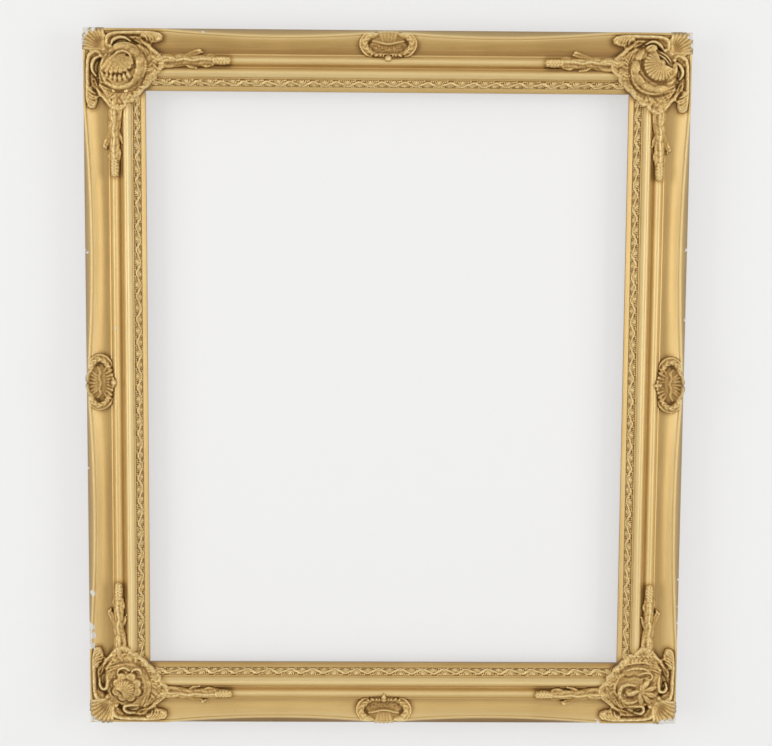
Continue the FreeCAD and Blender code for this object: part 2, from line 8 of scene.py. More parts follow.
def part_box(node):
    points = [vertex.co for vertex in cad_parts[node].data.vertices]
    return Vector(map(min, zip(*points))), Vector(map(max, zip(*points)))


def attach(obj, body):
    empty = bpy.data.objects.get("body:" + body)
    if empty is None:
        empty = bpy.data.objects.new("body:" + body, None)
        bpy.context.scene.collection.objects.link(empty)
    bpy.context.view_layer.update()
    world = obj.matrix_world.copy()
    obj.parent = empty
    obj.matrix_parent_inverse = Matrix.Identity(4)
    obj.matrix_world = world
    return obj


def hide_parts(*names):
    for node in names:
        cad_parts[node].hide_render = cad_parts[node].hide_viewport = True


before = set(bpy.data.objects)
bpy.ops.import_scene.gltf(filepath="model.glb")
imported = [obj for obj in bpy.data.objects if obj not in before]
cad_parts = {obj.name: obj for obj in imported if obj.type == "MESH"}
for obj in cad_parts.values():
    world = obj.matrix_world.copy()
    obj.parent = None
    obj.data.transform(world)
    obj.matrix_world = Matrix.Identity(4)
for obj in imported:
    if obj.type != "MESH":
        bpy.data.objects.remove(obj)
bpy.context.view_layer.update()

# Looks of an ornate gilded frame. Lengths below are millimetres unless a name says otherwise.
MM = 0.001

# Sizes of the frame, from its box and its moulding
low_corner, high_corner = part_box("rail_left")
half_height = high_corner.z / MM
half_width = -low_corner.x / MM
rail_width = 61.5
rebate_lip = 6.0
rebate_depth = 10.0
sight_edge_front = 15.0
corner_reach = 82.0
sweep_sagitta = 5.5
casting_crest = 40.4
torus_line = 29.9
torus_q = rail_width - torus_line
arm_root, arm_bud, arm_half = 76, 146, 5.0
cartouche_line = 15.4
cartouche_oval = (28.4, 13.4)

# Moulding members from the sight edge outwards: width, rise and crown
crown_steps = 14
inner_members = [
    (4.3, 2.6, 0), (0.7, -0.6, 0), (6.6, 6.6, 0), (0.7, 0, 0), (9.9, 3.0, 5.5), (0.5, -0.8, 0),
    (1.4, -0.5, 0.8), (0.6, -0.6, 0), (10.4, -0.3, 5.3), (1.3, -0.2, 0), (0.5, -3.2, 0),
]
cove_width, cove_rise, cove_sag = 14.5, 7.6, 2.2
rim_members = [(0.6, -0.2, 0), (3.2, 1.2, 1.7)]
band_width, band_drop = 6.3, 4.6
bed_first, bed_last = (5.0, 17.0), (11.6, 23.6)

# Sides: turn about Y from the bottom rail, length of the sight edge, distance across the opening
sight_width = 2 * (half_width - rail_width)
sight_height = 2 * (half_height - rail_width)
sides = {
    "bottom": (0, sight_width, sight_height),
    "left": (90, sight_height, sight_width),
    "top": (180, sight_width, sight_height),
    "right": (270, sight_height, sight_width),
}


def member_line(members, start):
    """Places along a run of members, round ones in short steps."""
    line = [start]
    for width, rise, crown in members:
        out, height = line[-1]
        steps = crown_steps if crown else 1
        for step in range(1, steps + 1):
            share = step / steps
            bulge = 4 * crown * share * (1 - share)
            line.append((out + width * share, height + rise * share + bulge))
    return np.array(line)


inner_line = member_line(inner_members, (0, sight_edge_front))
cove_start = inner_line[-1]
rim_line = member_line(rim_members, (0, 0))


def front_height(out, shift):
    """Height of the moulding's front over the back plane."""
    out = np.asarray(out, float)
    shift = np.broadcast_to(shift, out.shape)
    inner = np.interp(out, inner_line[:, 0], inner_line[:, 1])
    past = out - cove_start[0]
    share = np.clip(past / (cove_width + shift), 0, 1)
    cove = cove_start[1] + cove_rise * share - 4 * cove_sag * share * (1 - share)
    past = past - cove_width - shift
    rim = np.interp(past, rim_line[:, 0], rim_line[:, 1])
    band = np.clip((past - rim_line[-1, 0]) / (band_width - shift), 0, 1) * band_drop
    return np.where(out < cove_start[0], inner, cove + rim - band)


def sweep_shift(along, run):
    """How far the rim bows outwards of its deepest line at a distance from the rail's middle."""
    arc_end = run / 2 + rail_width - corner_reach
    share = (np.abs(along) - arc_end / 2) / (arc_end / 2)
    return sweep_sagitta * np.clip(share ** 2, 0, 1)


def on_side(points, side):
    """Turns places of the bottom rail (along, out from the sight edge, height) to a side, in metres."""
    turn, _, across = sides[side]
    along, out, height = np.moveaxis(points, -1, 0)
    x, z = along, -across / 2 - out
    angle = math.radians(turn)
    turned_x = x * math.cos(angle) + z * math.sin(angle)
    turned_z = -x * math.sin(angle) + z * math.cos(angle)
    return np.stack([turned_x, -height, turned_z], -1) * MM


def smooth_noise(shape, cells, seed):
    """Soft value noise over a grid, from -1 to 1, with about cells bumps each way."""
    source = np.random.default_rng(seed)
    rows, cols = int(cells[0]) + 2, int(cells[1]) + 2
    coarse = source.uniform(-1, 1, (rows, cols))
    row = np.linspace(0, rows - 1.001, shape[0])
    col = np.linspace(0, cols - 1.001, shape[1])
    r0, c0 = row.astype(int), col.astype(int)
    fr, fc = row - r0, col - c0
    fr, fc = fr * fr * (3 - 2 * fr), fc * fc * (3 - 2 * fc)
    top = coarse[np.ix_(r0, c0)] * (1 - fc) + coarse[np.ix_(r0, c0 + 1)] * fc
    bottom = coarse[np.ix_(r0 + 1, c0)] * (1 - fc) + coarse[np.ix_(r0 + 1, c0 + 1)] * fc
    return top * (1 - fr)[:, None] + bottom * fr[:, None]


def blurred(grid, radius, step):
    """Gaussian blur of a grid with a radius in millimetres."""
    reach = max(int(3 * radius / step), 1)
    kernel = np.exp(-0.5 * (np.arange(-reach, reach + 1) * step / radius) ** 2)
    kernel /= kernel.sum()
    out = grid
    for axis in (0, 1):
        pad = [(0, 0), (0, 0)]
        pad[axis] = (reach, reach)
        padded = np.pad(out, pad, mode="edge")
        size = out.shape[axis]
        total = np.zeros_like(out)
        for index, weight in enumerate(kernel):
            cut = [slice(None), slice(None)]
            cut[axis] = slice(index, index + size)
            total += weight * padded[tuple(cut)]
        out = total
    return out


def run_lengths(line):
    """Distance from a line's first point to each of its points."""
    return np.concatenate([[0], np.cumsum(np.hypot(*np.diff(line, axis=0).T))])


def spread(values, share):
    """Values that stand at even shares of a line, read at any share."""
    values = np.atleast_1d(values).astype(float)
    return np.interp(share, np.linspace(0, 1, len(values)), values)


# Chips in the gilding that bare white gesso: place along X and Z, radius, strength
chips = [
    (-308, 359, 6, 0.9), (-299, 361, 5, 0.8), (-310, 348, 5, 0.8), (309, 357, 5, 0.9), (310, 348, 4, 0.8),
    (226, -361, 4, 0.9), (296, -361, 6, 1.0), (305, -360, 6, 1.0), (-309, -357, 5, 0.9),
    (-302, -361, 5, 0.9), (-309, -258, 5, 1.0), (-308, -268, 5, 1.0), (-309, -279, 5, 0.9),
    (-306, -222, 3.5, 0.9), (-310, 135, 3.5, 0.9), (-279, 56, 2.6, 0.7), (309, 140, 2.4, 0.8),
    (309, 68, 2.2, 0.7), (309, -206, 2.2, 0.8), (309, -234, 2.0, 0.8), (310, -253, 2.6, 0.8),
    (156, 318, 1.6, 0.6), (-188, 357, 2.5, 0.8), (-170, 357, 2.2, 0.7), (-152, 356, 2.0, 0.6),
    (60, -361, 2.2, 0.7), (-120, -361, 2.0, 0.6), (120, 361, 2.0, 0.6), (310, 10, 2.0, 0.6),
    (-310, -90, 2.4, 0.7),
]


def chip_field(points):
    """How near each place is to a chip, from 0 to 1."""
    x, z = points[..., 0] / MM, points[..., 2] / MM
    field = np.zeros(x.shape)
    for centre_x, centre_z, radius, strength in chips:
        distance = np.hypot(x - centre_x, z - centre_z)
        field = np.maximum(field, strength * np.clip(1.25 - distance / (1.6 * radius), 0, 1))
    return field


def enclosed(points, quads, caps):
    """Volume inside closed faces, negative when they face inwards."""
    places = points.astype(float) - points.mean(0)
    a, b, c, d = (places[quads[:, k]] for k in range(4))
    total = np.sum(np.cross(a, b) * c) + np.sum(np.cross(a, c) * d)
    for cap in caps:
        ring = places[cap]
        total += np.sum(np.cross(ring[:1], ring[1:-1]) * ring[2:])
    return total / 6


def placed(name, data):
    """New object in the scene."""
    thing = bpy.data.objects.new(name, data)
    bpy.context.scene.collection.objects.link(thing)
    return thing


def new_mesh(name, points, faces, attributes, materials, face_material=None, sharp_angle=40):
    """Mesh object from points in metres and faces of four, with float attributes on its points."""
    mesh = bpy.data.meshes.new(name)
    points = np.asarray(points, np.float32)
    quads = np.asarray(faces["quads"], np.int32).reshape(-1, 4)
    caps = [np.asarray(cap, np.int32) for cap in faces.get("caps", [])]
    if enclosed(points, quads, caps) < 0:
        quads, caps = quads[:, ::-1], [cap[::-1] for cap in caps]
    loops = np.concatenate([quads.ravel()] + caps)
    totals = np.concatenate([np.full(len(quads), 4, np.int32), np.array([len(c) for c in caps], np.int32)])
    starts = np.concatenate([[0], np.cumsum(totals)[:-1]]).astype(np.int32)
    mesh.vertices.add(len(points))
    mesh.vertices.foreach_set("co", points.ravel())
    mesh.loops.add(len(loops))
    mesh.loops.foreach_set("vertex_index", loops)
    mesh.polygons.add(len(totals))
    mesh.polygons.foreach_set("loop_start", starts)
    mesh.polygons.foreach_set("loop_total", totals)
    for material in materials:
        mesh.materials.append(material)
    if face_material is not None:
        index = np.zeros(len(totals), np.int32)
        index[:len(face_material)] = face_material
        mesh.polygons.foreach_set("material_index", index)
    mesh.polygons.foreach_set("use_smooth", np.ones(len(totals), bool))
    for key, values in attributes.items():
        values = np.asarray(values, np.float32)
        if values.ndim == 2:
            layer = mesh.attributes.new(key, "FLOAT_VECTOR", "POINT")
            layer.data.foreach_set("vector", values.ravel())
        else:
            layer = mesh.attributes.new(key, "FLOAT", "POINT")
            layer.data.foreach_set("value", values)
    mesh.update(calc_edges=True)
    mesh.validate()
    mesh.set_sharp_from_angle(angle=math.radians(sharp_angle))
    return placed(name, mesh)


def relief_solid(name, top, bottom, keep, attributes, material):
    """Closed piece between two grids of places over the cells to keep."""
    rows, cols = keep.shape
    index = np.arange((rows + 1) * (cols + 1)).reshape(rows + 1, cols + 1)
    a, b, c, d = index[:-1, :-1], index[1:, :-1], index[1:, 1:], index[:-1, 1:]
    quads = np.stack([a, b, c, d], -1)[keep]
    shift = index.size
    edges = np.concatenate([quads[:, [0, 1]], quads[:, [1, 2]], quads[:, [2, 3]], quads[:, [3, 0]]])
    codes = set(map(tuple, edges.tolist()))
    walls = [(j, i, i + shift, j + shift) for i, j in codes if (j, i) not in codes]
    quads = np.concatenate([quads, quads[:, ::-1] + shift, np.array(sorted(walls), int).reshape(-1, 4)])
    used, compact = np.unique(quads, return_inverse=True)
    points = np.concatenate([top.reshape(-1, 3), bottom.reshape(-1, 3)])[used]
    values = {}
    for key, field in attributes.items():
        flat = field.reshape(-1, 3) if field.ndim == 3 else field.ravel()
        values[key] = np.concatenate([flat, flat])[used]
    return new_mesh(name, points, {"quads": compact.reshape(-1, 4)}, values, [material], sharp_angle=80)


def inside_outline(p, q, outline):
    """Whether places lie inside a closed outline, and how far they are from it."""
    points = np.asarray(outline, float)
    inside = np.zeros(p.shape, bool)
    gap = np.full(p.shape, 1e9)
    for k in range(len(points)):
        a, b = points[k - 1], points[k]
        crosses = (a[1] > q) != (b[1] > q)
        with np.errstate(divide="ignore", invalid="ignore"):
            at = (b[0] - a[0]) * (q - a[1]) / (b[1] - a[1]) + a[0]
        inside ^= crosses & (p < at)
        ab = b - a
        t = np.clip(((p - a[0]) * ab[0] + (q - a[1]) * ab[1]) / (ab @ ab), 0, 1)
        gap = np.minimum(gap, np.hypot(p - a[0] - t * ab[0], q - a[1] - t * ab[1]))
    return inside, gap


# How far under the moulding a relief lies where it is empty, where it ends, at its rim and at its back
empty_depth, end_depth, rim_depth, back_depth = 3.0, 0.9, 1.1, 1.6


class Relief:
    """Height field over a piece of the moulding, in millimetres, on which ornament is modelled.

    Its places are p along the piece and q across it. Functions that model on a relief call it f.
    """

    def __init__(self, along_span, across_span, step):
        self.step = step
        self.along_axis = np.arange(along_span[0], along_span[1] + step / 2, step)
        self.across_axis = np.arange(across_span[0], across_span[1] + step / 2, step)
        self.p, self.q = np.meshgrid(self.along_axis, self.across_axis, indexing="ij")
        self.edge = self.q
        self.base = self.ground = self.height = None

    def start(self, base, lift, blur):
        """Sets the moulding's own surface and the ground that the ornament rises from."""
        self.base = base
        self.ground = np.maximum(blurred(base, blur, self.step), base - 0.4) + lift
        self.height = base - empty_depth

    def window(self, points, margin):
        """Part of the grid that holds some points and a margin round them."""
        low = points.min(0) - margin
        high = points.max(0) + margin
        i0, i1 = np.searchsorted(self.along_axis, [low[0], high[0]])
        j0, j1 = np.searchsorted(self.across_axis, [low[1], high[1]])
        return slice(i0, i1), slice(j0, j1)

    def path(self, points):
        """Smooth line through points, in short steps."""
        points = np.asarray(points, float)
        padded = np.vstack([2 * points[0] - points[1], points, 2 * points[-1] - points[-2]])
        line = []
        for k in range(len(points) - 1):
            p0, p1, p2, p3 = padded[k:k + 4]
            count = max(int(np.hypot(*(p2 - p1)) / (0.8 * self.step)), 2)
            t = np.linspace(0, 1, count, endpoint=False)[:, None]
            line.append(0.5 * (2 * p1 + (p2 - p0) * t + (2 * p0 - 5 * p1 + 4 * p2 - p3) * t ** 2
                               + (3 * p1 - p0 - 3 * p2 + p3) * t ** 3))
        return np.vstack(line + [points[-1:]])

    def nearest(self, points, width):
        """Distance to a smooth line, the share of its length there and the side, over its window."""
        line = self.path(points)
        cut = self.window(line, width + 1)
        p, q = self.p[cut], self.q[cut]
        if p.size == 0:
            return cut, None
        gap = np.full(p.shape, 1e9)
        share = np.zeros(p.shape)
        side = np.zeros(p.shape)
        lengths = run_lengths(line)
        ahead = np.gradient(line, axis=0)
        for k, (x, y) in enumerate(line):
            d = np.hypot(p - x, q - y)
            closer = d < gap
            gap = np.where(closer, d, gap)
            share = np.where(closer, lengths[k] / lengths[-1], share)
            turned = ahead[k, 0] * (q - y) - ahead[k, 1] * (p - x)
            side = np.where(closer, np.sign(turned), side)
        return cut, (gap, share, side, lengths[-1])

    def stroke(self, points, width, height, veins=0, ribs=0, slant=0.0, hollow=0.0):
        """Rounded strand with half widths and heights at even shares, veins along it or ribs across it."""
        cut, found = self.nearest(points, np.max(width))
        if found is None:
            return
        gap, share, side, length = found
        half = spread(width, share)
        off = np.clip(gap / half, 0, 1)
        section = np.sqrt(np.clip(1 - off ** 2, 0, 1))
        if hollow:
            section = section - hollow * np.exp(-(off / 0.45) ** 2)
        if veins:
            section = section - 0.16 * (0.5 + 0.5 * np.cos(math.pi * off * side * veins)) * (off < 0.92)
        if ribs:
            wave = np.cos(2 * math.pi * (share * length / ribs + slant * off))
            section = section * (1 - 0.32 * (0.5 - 0.5 * wave))
        raised = self.ground[cut] + spread(height, share) * section
        self.height[cut] = np.where(gap < half, np.maximum(self.height[cut], raised), self.height[cut])

    def carve(self, points, width, depth):
        """Groove along a smooth line."""
        cut, found = self.nearest(points, 2 * np.max(width))
        if found is None:
            return
        gap, share = found[:2]
        self.height[cut] -= spread(depth, share) * np.exp(-(gap / spread(width, share)) ** 2)

    def oval(self, centre, radii, heading):
        """Places as shares of an oval's half lengths, along its heading and across it."""
        dp, dq = self.p - centre[0], self.q - centre[1]
        angle = math.radians(heading)
        return ((dp * math.cos(angle) + dq * math.sin(angle)) / radii[0],
                (dq * math.cos(angle) - dp * math.sin(angle)) / radii[1])

    def dome(self, centre, radii, height, heading=0.0):
        """Oval dome that rises from the ground."""
        along, across = self.oval(centre, radii, heading)
        reach = np.clip(along ** 2 + across ** 2, 0, 1)
        raised = self.ground + height * np.sqrt(1 - reach)
        self.height = np.where(reach < 1, np.maximum(self.height, raised), self.height)

    def pit(self, centre, radii, depth, heading=0.0):
        """Oval hollow pressed into what is there."""
        along, across = self.oval(centre, radii, heading)
        self.height -= depth * np.exp(-(along ** 2 + across ** 2) ** 1.5)

    def shell(self, hinge, heading, radius, opening, ribs, height, dip, groove, lift, side_share):
        """Scallop: ribs that fan from a hinge, with a scalloped lip that is nearer at both sides."""
        dp, dq = self.p - hinge[0], self.q - hinge[1]
        reach = np.hypot(dp, dq)
        angle = np.degrees(np.arctan2(dq, dp)) - heading
        angle = (angle + 180) % 360 - 180
        turn = angle / opening
        rib = 1 - (1 - np.abs(np.sin(math.pi * (turn + 0.5) * ribs))) ** 2
        aside = np.clip(np.abs(2 * turn), 0, 1)
        limit = radius * (1 - side_share * aside ** 2) * (1 - dip * (1 - rib))
        share = reach / limit
        dome = np.sqrt(np.clip(1 - (np.clip(share, 0, 1) - 0.35) ** 2 / 0.46, 0, 1))
        fade = np.clip(share * 2.2, 0, 1)
        raised = self.ground + lift + height * dome - groove * (1 - rib) * fade
        inside = (share < 1) & (np.abs(turn) <= 0.5)
        self.height = np.where(inside, np.maximum(self.height, raised), self.height)

    def swell(self, centre, radii, height):
        """Raises the ground itself in a smooth swelling."""
        reach = np.hypot((self.p - centre[0]) / radii[0], (self.q - centre[1]) / radii[1])
        self.ground = self.ground + height * np.exp(-reach ** 3)

    def rounded(self, outline, width):
        """What lies inside an outline, and a quarter round from 0 at its edge to 1."""
        inside, gap = inside_outline(self.p, self.q, outline)
        return inside, np.sqrt(np.clip(1 - (1 - np.clip(gap / width, 0, 1)) ** 2, 0, 1))

    def sheet(self, outline, lift, texture=0.0):
        """Ground skin inside an outline of places, with a rounded edge."""
        inside, rounding = self.rounded(outline, 2.2)
        raised = self.ground - 2.4 + (2.4 + lift) * rounding + texture * rounding
        self.height = np.where(inside, np.maximum(self.height, raised), self.height)

    def trim(self, outline, width):
        """Cuts all that lies outside an outline, with a rounded edge inside it."""
        inside, rounding = self.rounded(outline, width)
        foot = self.base - 1.5
        eased = foot + (self.height - foot) * rounding
        cut = np.where(self.height > foot, eased, self.height)
        self.height = np.where(inside, cut, self.base - empty_depth)

    def grain(self, size, seed):
        """Noise from -1 to 1 with bumps of a size in millimetres."""
        return smooth_noise(self.p.shape, np.array(self.p.shape) * self.step / size, seed)

    def finish(self, roughness, seed):
        """Softens the cast a little and keeps it under the crest."""
        height = self.height
        soft = blurred(height, 0.42, self.step)
        raised = height > self.base - 1.0
        grain = self.grain(1.3, seed) + 0.7 * self.grain(3.1, seed + 1)
        height = np.where(raised, soft + roughness * grain, soft)
        self.height = np.minimum(height, casting_crest)

    def tone(self):
        """Ridges above 0.5 and recesses under it."""
        shown = np.maximum(self.height, self.base)
        fine = shown - blurred(shown, 1.2, self.step)
        broad = shown - blurred(shown, 4.0, self.step)
        return np.clip(0.50 + 0.36 * fine + 0.08 * broad, 0, 1)

    def piece(self, name, place, material):
        """Turns the field into a closed piece by a function from grid places to metres."""
        shown = self.height > self.base - end_depth
        keep = shown[:-1, :-1] | shown[1:, :-1] | shown[1:, 1:] | shown[:-1, 1:]
        top = place(self.p, self.q, np.maximum(self.height, self.base - rim_depth))
        bottom = place(self.p, self.q, self.base - back_depth)
        flow = np.stack([self.p, self.q, np.zeros_like(self.p)], -1)
        dull = np.clip(1.1 - self.edge / 4.5, 0, 0.8)
        attributes = {"tone": self.tone(), "chip": chip_field(top), "dull": dull, "flow": flow}
        return relief_solid(name, top, bottom, keep, attributes, material)


# Materials
GOLD_DARK = (0.20, 0.105, 0.028, 1)
GOLD_DEEP = (0.39, 0.228, 0.070, 1)
GOLD_MID = (0.63, 0.432, 0.165, 1)
GOLD_LIGHT = (0.84, 0.66, 0.33, 1)
OCHRE = (0.30, 0.225, 0.13, 1)
GESSO = (0.73, 0.70, 0.64, 1)
WOOD_LINE = (0.30, 0.17, 0.08, 1)
WOOD_DEEP = (0.50, 0.33, 0.17, 1)
WOOD_MID = (0.62, 0.45, 0.26, 1)
WOOD_LIGHT = (0.68, 0.52, 0.33, 1)
WOOD_PORE = (0.27, 0.16, 0.08, 1)
WOOD_DIRT = (0.22, 0.15, 0.09, 1)
RUST = (0.20, 0.09, 0.035, 1)


class Nodes:
    """Short way to write a node material."""

    def __init__(self, name):
        self.material = bpy.data.materials.new(name)
        self.material.use_nodes = True
        self.tree = self.material.node_tree
        self.shader = self.tree.nodes["Principled BSDF"]
        self.output = self.tree.nodes["Material Output"]

    def add(self, kind, inputs=None, **settings):
        node = self.tree.nodes.new(kind)
        for key, value in settings.items():
            setattr(node, key, value)
        for key, value in (inputs or {}).items():
            self.put(node.inputs[key], value)
        return node

    def put(self, socket, value):
        if isinstance(value, bpy.types.NodeSocket):
            self.tree.links.new(value, socket)
        else:
            socket.default_value = value

    def attribute(self, name):
        return self.add("ShaderNodeAttribute", attribute_name=name)

    def noise(self, vector, scale, detail=4.0, rough=0.55):
        inputs = {"Vector": vector, "Scale": scale, "Detail": detail, "Roughness": rough}
        return self.add("ShaderNodeTexNoise", inputs).outputs["Fac"]

    def math(self, operation, first, second, clamp=False):
        inputs = {0: first, 1: second}
        return self.add("ShaderNodeMath", inputs, operation=operation, use_clamp=clamp).outputs[0]

    def plus(self, first, second, clamp=False):
        return self.math("ADD", first, second, clamp)

    def less(self, first, second, clamp=False):
        return self.math("SUBTRACT", first, second, clamp)

    def times(self, first, second):
        return self.math("MULTIPLY", first, second)

    def most(self, first, second):
        return self.math("MAXIMUM", first, second)

    def ramp(self, value, stops):
        node = self.add("ShaderNodeValToRGB", {"Fac": value})
        while len(node.color_ramp.elements) < len(stops):
            node.color_ramp.elements.new(0.5)
        for element, (place, colour) in zip(node.color_ramp.elements, stops):
            element.position = place
            element.color = colour
        return node.outputs["Color"]

    def mix(self, factor, first, second):
        node = self.add("ShaderNodeMix", data_type="RGBA")
        self.put(node.inputs["Factor"], factor)
        self.put(node.inputs[6], first)
        self.put(node.inputs[7], second)
        return node.outputs[2]

    def step(self, value, low, high):
        node = self.add("ShaderNodeMapRange", {"Value": value, "From Min": low, "From Max": high})
        node.interpolation_type = "SMOOTHSTEP"
        return node.outputs["Result"]

    def stretched(self, vector, scales):
        node = self.add("ShaderNodeMapping", {"Vector": vector, "Scale": scales})
        return node.outputs["Vector"]

    def bump(self, height, distance, strength):
        node = self.add("ShaderNodeBump", {"Height": height, "Distance": distance, "Strength": strength})
        return node.outputs["Normal"]


def gilt(name, metal, roughness, lift):
    """Antique gold over gesso: umber in the recesses, rubbed ridges, white chips at knocked edges."""
    n = Nodes(name)
    place = n.add("ShaderNodeTexCoord").outputs["Object"]
    tone = n.attribute("tone").outputs["Fac"]
    chip = n.attribute("chip").outputs["Fac"]
    flow = n.attribute("flow").outputs["Vector"]
    cloud = n.noise(place, 16.0, 3.0)
    fleck = n.noise(place, 700.0, 3.0, 0.65)
    streak = n.noise(n.stretched(flow, (0.018, 0.55, 1.0)), 1.0, 5.0, 0.6)
    ragged = n.noise(place, 260.0, 5.0, 0.65)
    mottle = n.plus(n.plus(n.times(cloud, 0.16), n.times(streak, 0.20)), n.times(fleck, 0.10))
    shade = n.plus(n.plus(tone, lift), n.less(mottle, 0.23))
    colour = n.ramp(shade, [(0.0, GOLD_DARK), (0.30, GOLD_DEEP), (0.55, GOLD_MID), (0.92, GOLD_LIGHT)])
    chipped = n.step(n.plus(chip, n.times(n.less(ragged, 0.5), 1.6)), 0.62, 0.72)
    speck = n.step(n.plus(n.times(tone, 0.35), n.times(ragged, 0.75)), 0.80, 0.84)
    bare = n.most(chipped, n.times(n.times(speck, n.step(cloud, 0.50, 0.62)), 0.7))
    scuff = n.step(n.noise(place, 90.0, 6.0, 0.7), 0.66, 0.80)
    colour = n.mix(n.times(scuff, 0.35), colour, GOLD_DEEP)
    worn = n.times(n.attribute("dull").outputs["Fac"], n.plus(0.62, n.times(ragged, 0.5)))
    colour = n.mix(worn, colour, OCHRE)
    n.put(n.shader.inputs["Base Color"], n.mix(bare, colour, GESSO))
    shiny = n.less(1.0, n.most(bare, n.times(worn, 0.8)), True)
    n.put(n.shader.inputs["Metallic"], n.times(shiny, metal))
    rough = n.plus(roughness - 0.08, n.times(streak, 0.16))
    n.put(n.shader.inputs["Roughness"], n.plus(rough, n.times(bare, 0.35), True))
    n.shader.inputs["Specular IOR Level"].default_value = 0.4
    ground = n.less(n.plus(n.times(fleck, 0.4), n.times(streak, 0.6)), n.times(bare, 1.6))
    n.put(n.shader.inputs["Normal"], n.bump(ground, 0.00025, 0.55))
    return n.material


def bare_wood(name):
    """Planed softwood on the back, with grain along the rail, dirt and a few dark pores."""
    n = Nodes(name)
    flow = n.attribute("flow").outputs["Vector"]
    place = n.add("ShaderNodeTexCoord").outputs["Object"]
    bend = n.noise(n.stretched(flow, (0.004, 0.03, 1.0)), 1.0, 2.0)
    rings = n.noise(n.stretched(flow, (0.006, 0.42, 1.0)), 1.0, 6.0, 0.6)
    fibre = n.noise(n.stretched(flow, (0.05, 3.2, 1.0)), 1.0, 4.0, 0.7)
    grime = n.noise(place, 9.0, 5.0, 0.6)
    grain = n.plus(n.times(rings, 0.7), n.times(bend, 0.3))
    colour = n.ramp(grain, [(0.30, WOOD_LINE), (0.48, WOOD_DEEP), (0.60, WOOD_MID), (0.75, WOOD_LIGHT)])
    colour = n.mix(n.step(fibre, 0.62, 0.75), colour, WOOD_PORE)
    colour = n.mix(n.times(n.step(grime, 0.45, 0.75), 0.45), colour, WOOD_DIRT)
    n.put(n.shader.inputs["Base Color"], colour)
    n.put(n.shader.inputs["Roughness"], n.plus(0.55, n.times(fibre, 0.3)))
    n.put(n.shader.inputs["Normal"], n.bump(n.plus(fibre, rings), 0.0003, 0.6))
    return n.material


def steel(name, colour, roughness, tarnish):
    """Plated steel with fine drawing marks, dulling and a little rust."""
    n = Nodes(name)
    place = n.add("ShaderNodeTexCoord").outputs["Object"]
    marks = n.noise(n.stretched(place, (2600.0, 2600.0, 160.0)), 1.0, 3.0)
    dull = n.noise(place, 180.0, 5.0, 0.65)
    rust = n.noise(place, 420.0, 6.0, 0.7)
    spots = n.times(n.step(rust, 0.60, 0.72), tarnish)
    shade = n.mix(dull, colour, tuple(0.62 * c for c in colour[:3]) + (1,))
    n.put(n.shader.inputs["Base Color"], n.mix(spots, shade, RUST))
    n.put(n.shader.inputs["Metallic"], n.less(1.0, n.times(spots, 0.8)))
    rough = n.plus(roughness, n.times(dull, 0.22))
    n.put(n.shader.inputs["Roughness"], n.plus(rough, n.times(spots, 0.3), True))
    n.put(n.shader.inputs["Normal"], n.bump(n.plus(marks, rust), 0.00008, 0.5))
    return n.material


gilt_rail = gilt("gilt_rail", metal=0.50, roughness=0.46, lift=0.06)
gilt_ornament = gilt("gilt_ornament", metal=0.46, roughness=0.44, lift=-0.13)
wood_back = bare_wood("wood_back")
plated_steel = steel("plated_steel", (0.62, 0.62, 0.62, 1), roughness=0.26, tarnish=0.35)
screw_steel = steel("screw_steel", (0.55, 0.54, 0.52, 1), roughness=0.32, tarnish=0.5)
nail_steel = steel("nail_steel", (0.36, 0.36, 0.37, 1), roughness=0.42, tarnish=0.8)


# Rails: tone of the gilding between its limits, what fine and broad relief add to it, and the wood's tone
mid_tone, tone_limits = 0.56, (0.45, 0.67)
fine_share, broad_share = 0.16, 0.05
wood_tone = 0.34

# Painted contact shadow and dirt beside the ornaments: how far it reaches and how dark it is, and an oval's
# mean half size
shadow_dirt_reach, shadow_dirt_depth = 2.4, 0.30
oval_size = 18

# Dents at the chips: least strength of a chip, depth at full strength and least height on the rail
dent_from, dent_depth, dent_floor = 0.72, 1.1, 12

# How much painted shade darkens the cove's foot and the outer band on each side; the top rail's cove and the
# bottom rail's band, which face away from the light from above, are darkest
cove_foot_shade = {"bottom": 0.16, "left": 0.18, "top": 0.38, "right": 0.15}
outer_band_shade = {"bottom": 0.32, "left": 0.04, "top": 0.0, "right": 0.02}

# Painted light and shade on stretches of the inner members of each side, lighter where slopes face the side
# lamps and darker where they face away from the light: from and to outwards of the sight edge, change of tone
side_light_and_shade = {
    "bottom": [(-1, 4.4, -0.16), (11.6, 17.8, 0.08)],
    "left": [(11.6, 17.8, 0.20), (23.4, 25.6, 0.06), (27, 36, -0.07)],
    "top": [(11.6, 17.8, 0.08), (17.8, 21.6, -0.10), (23.4, 25.6, -0.12)],
    "right": [(11.6, 17.8, 0.07), (23.4, 25.6, 0.08)],
}


def resampled(line, spacing):
    """The same line in even steps, its arrises a little softened."""
    lengths = run_lengths(line)
    count = int(lengths[-1] / spacing)
    even = np.linspace(0, lengths[-1], count + 1)
    soft = np.stack([np.interp(even, lengths, line[:, k]) for k in (0, 1)], -1)
    soft[1:-1] = 0.25 * soft[:-2] + 0.5 * soft[1:-1] + 0.25 * soft[2:]
    return soft


inner_front = resampled(inner_line, 0.45)
rim_front = resampled(rim_line, 0.4)[1:]
cove_shares = np.linspace(0, 1, 26)[1:]
band_shares = np.linspace(0, 1, 9)[1:]
side_shares = (0.985, 0.94, 0.75, 0.5, 0.25, 0.04)
back_outs = np.linspace(rail_width, rebate_lip, 14)
lip_rows = 2


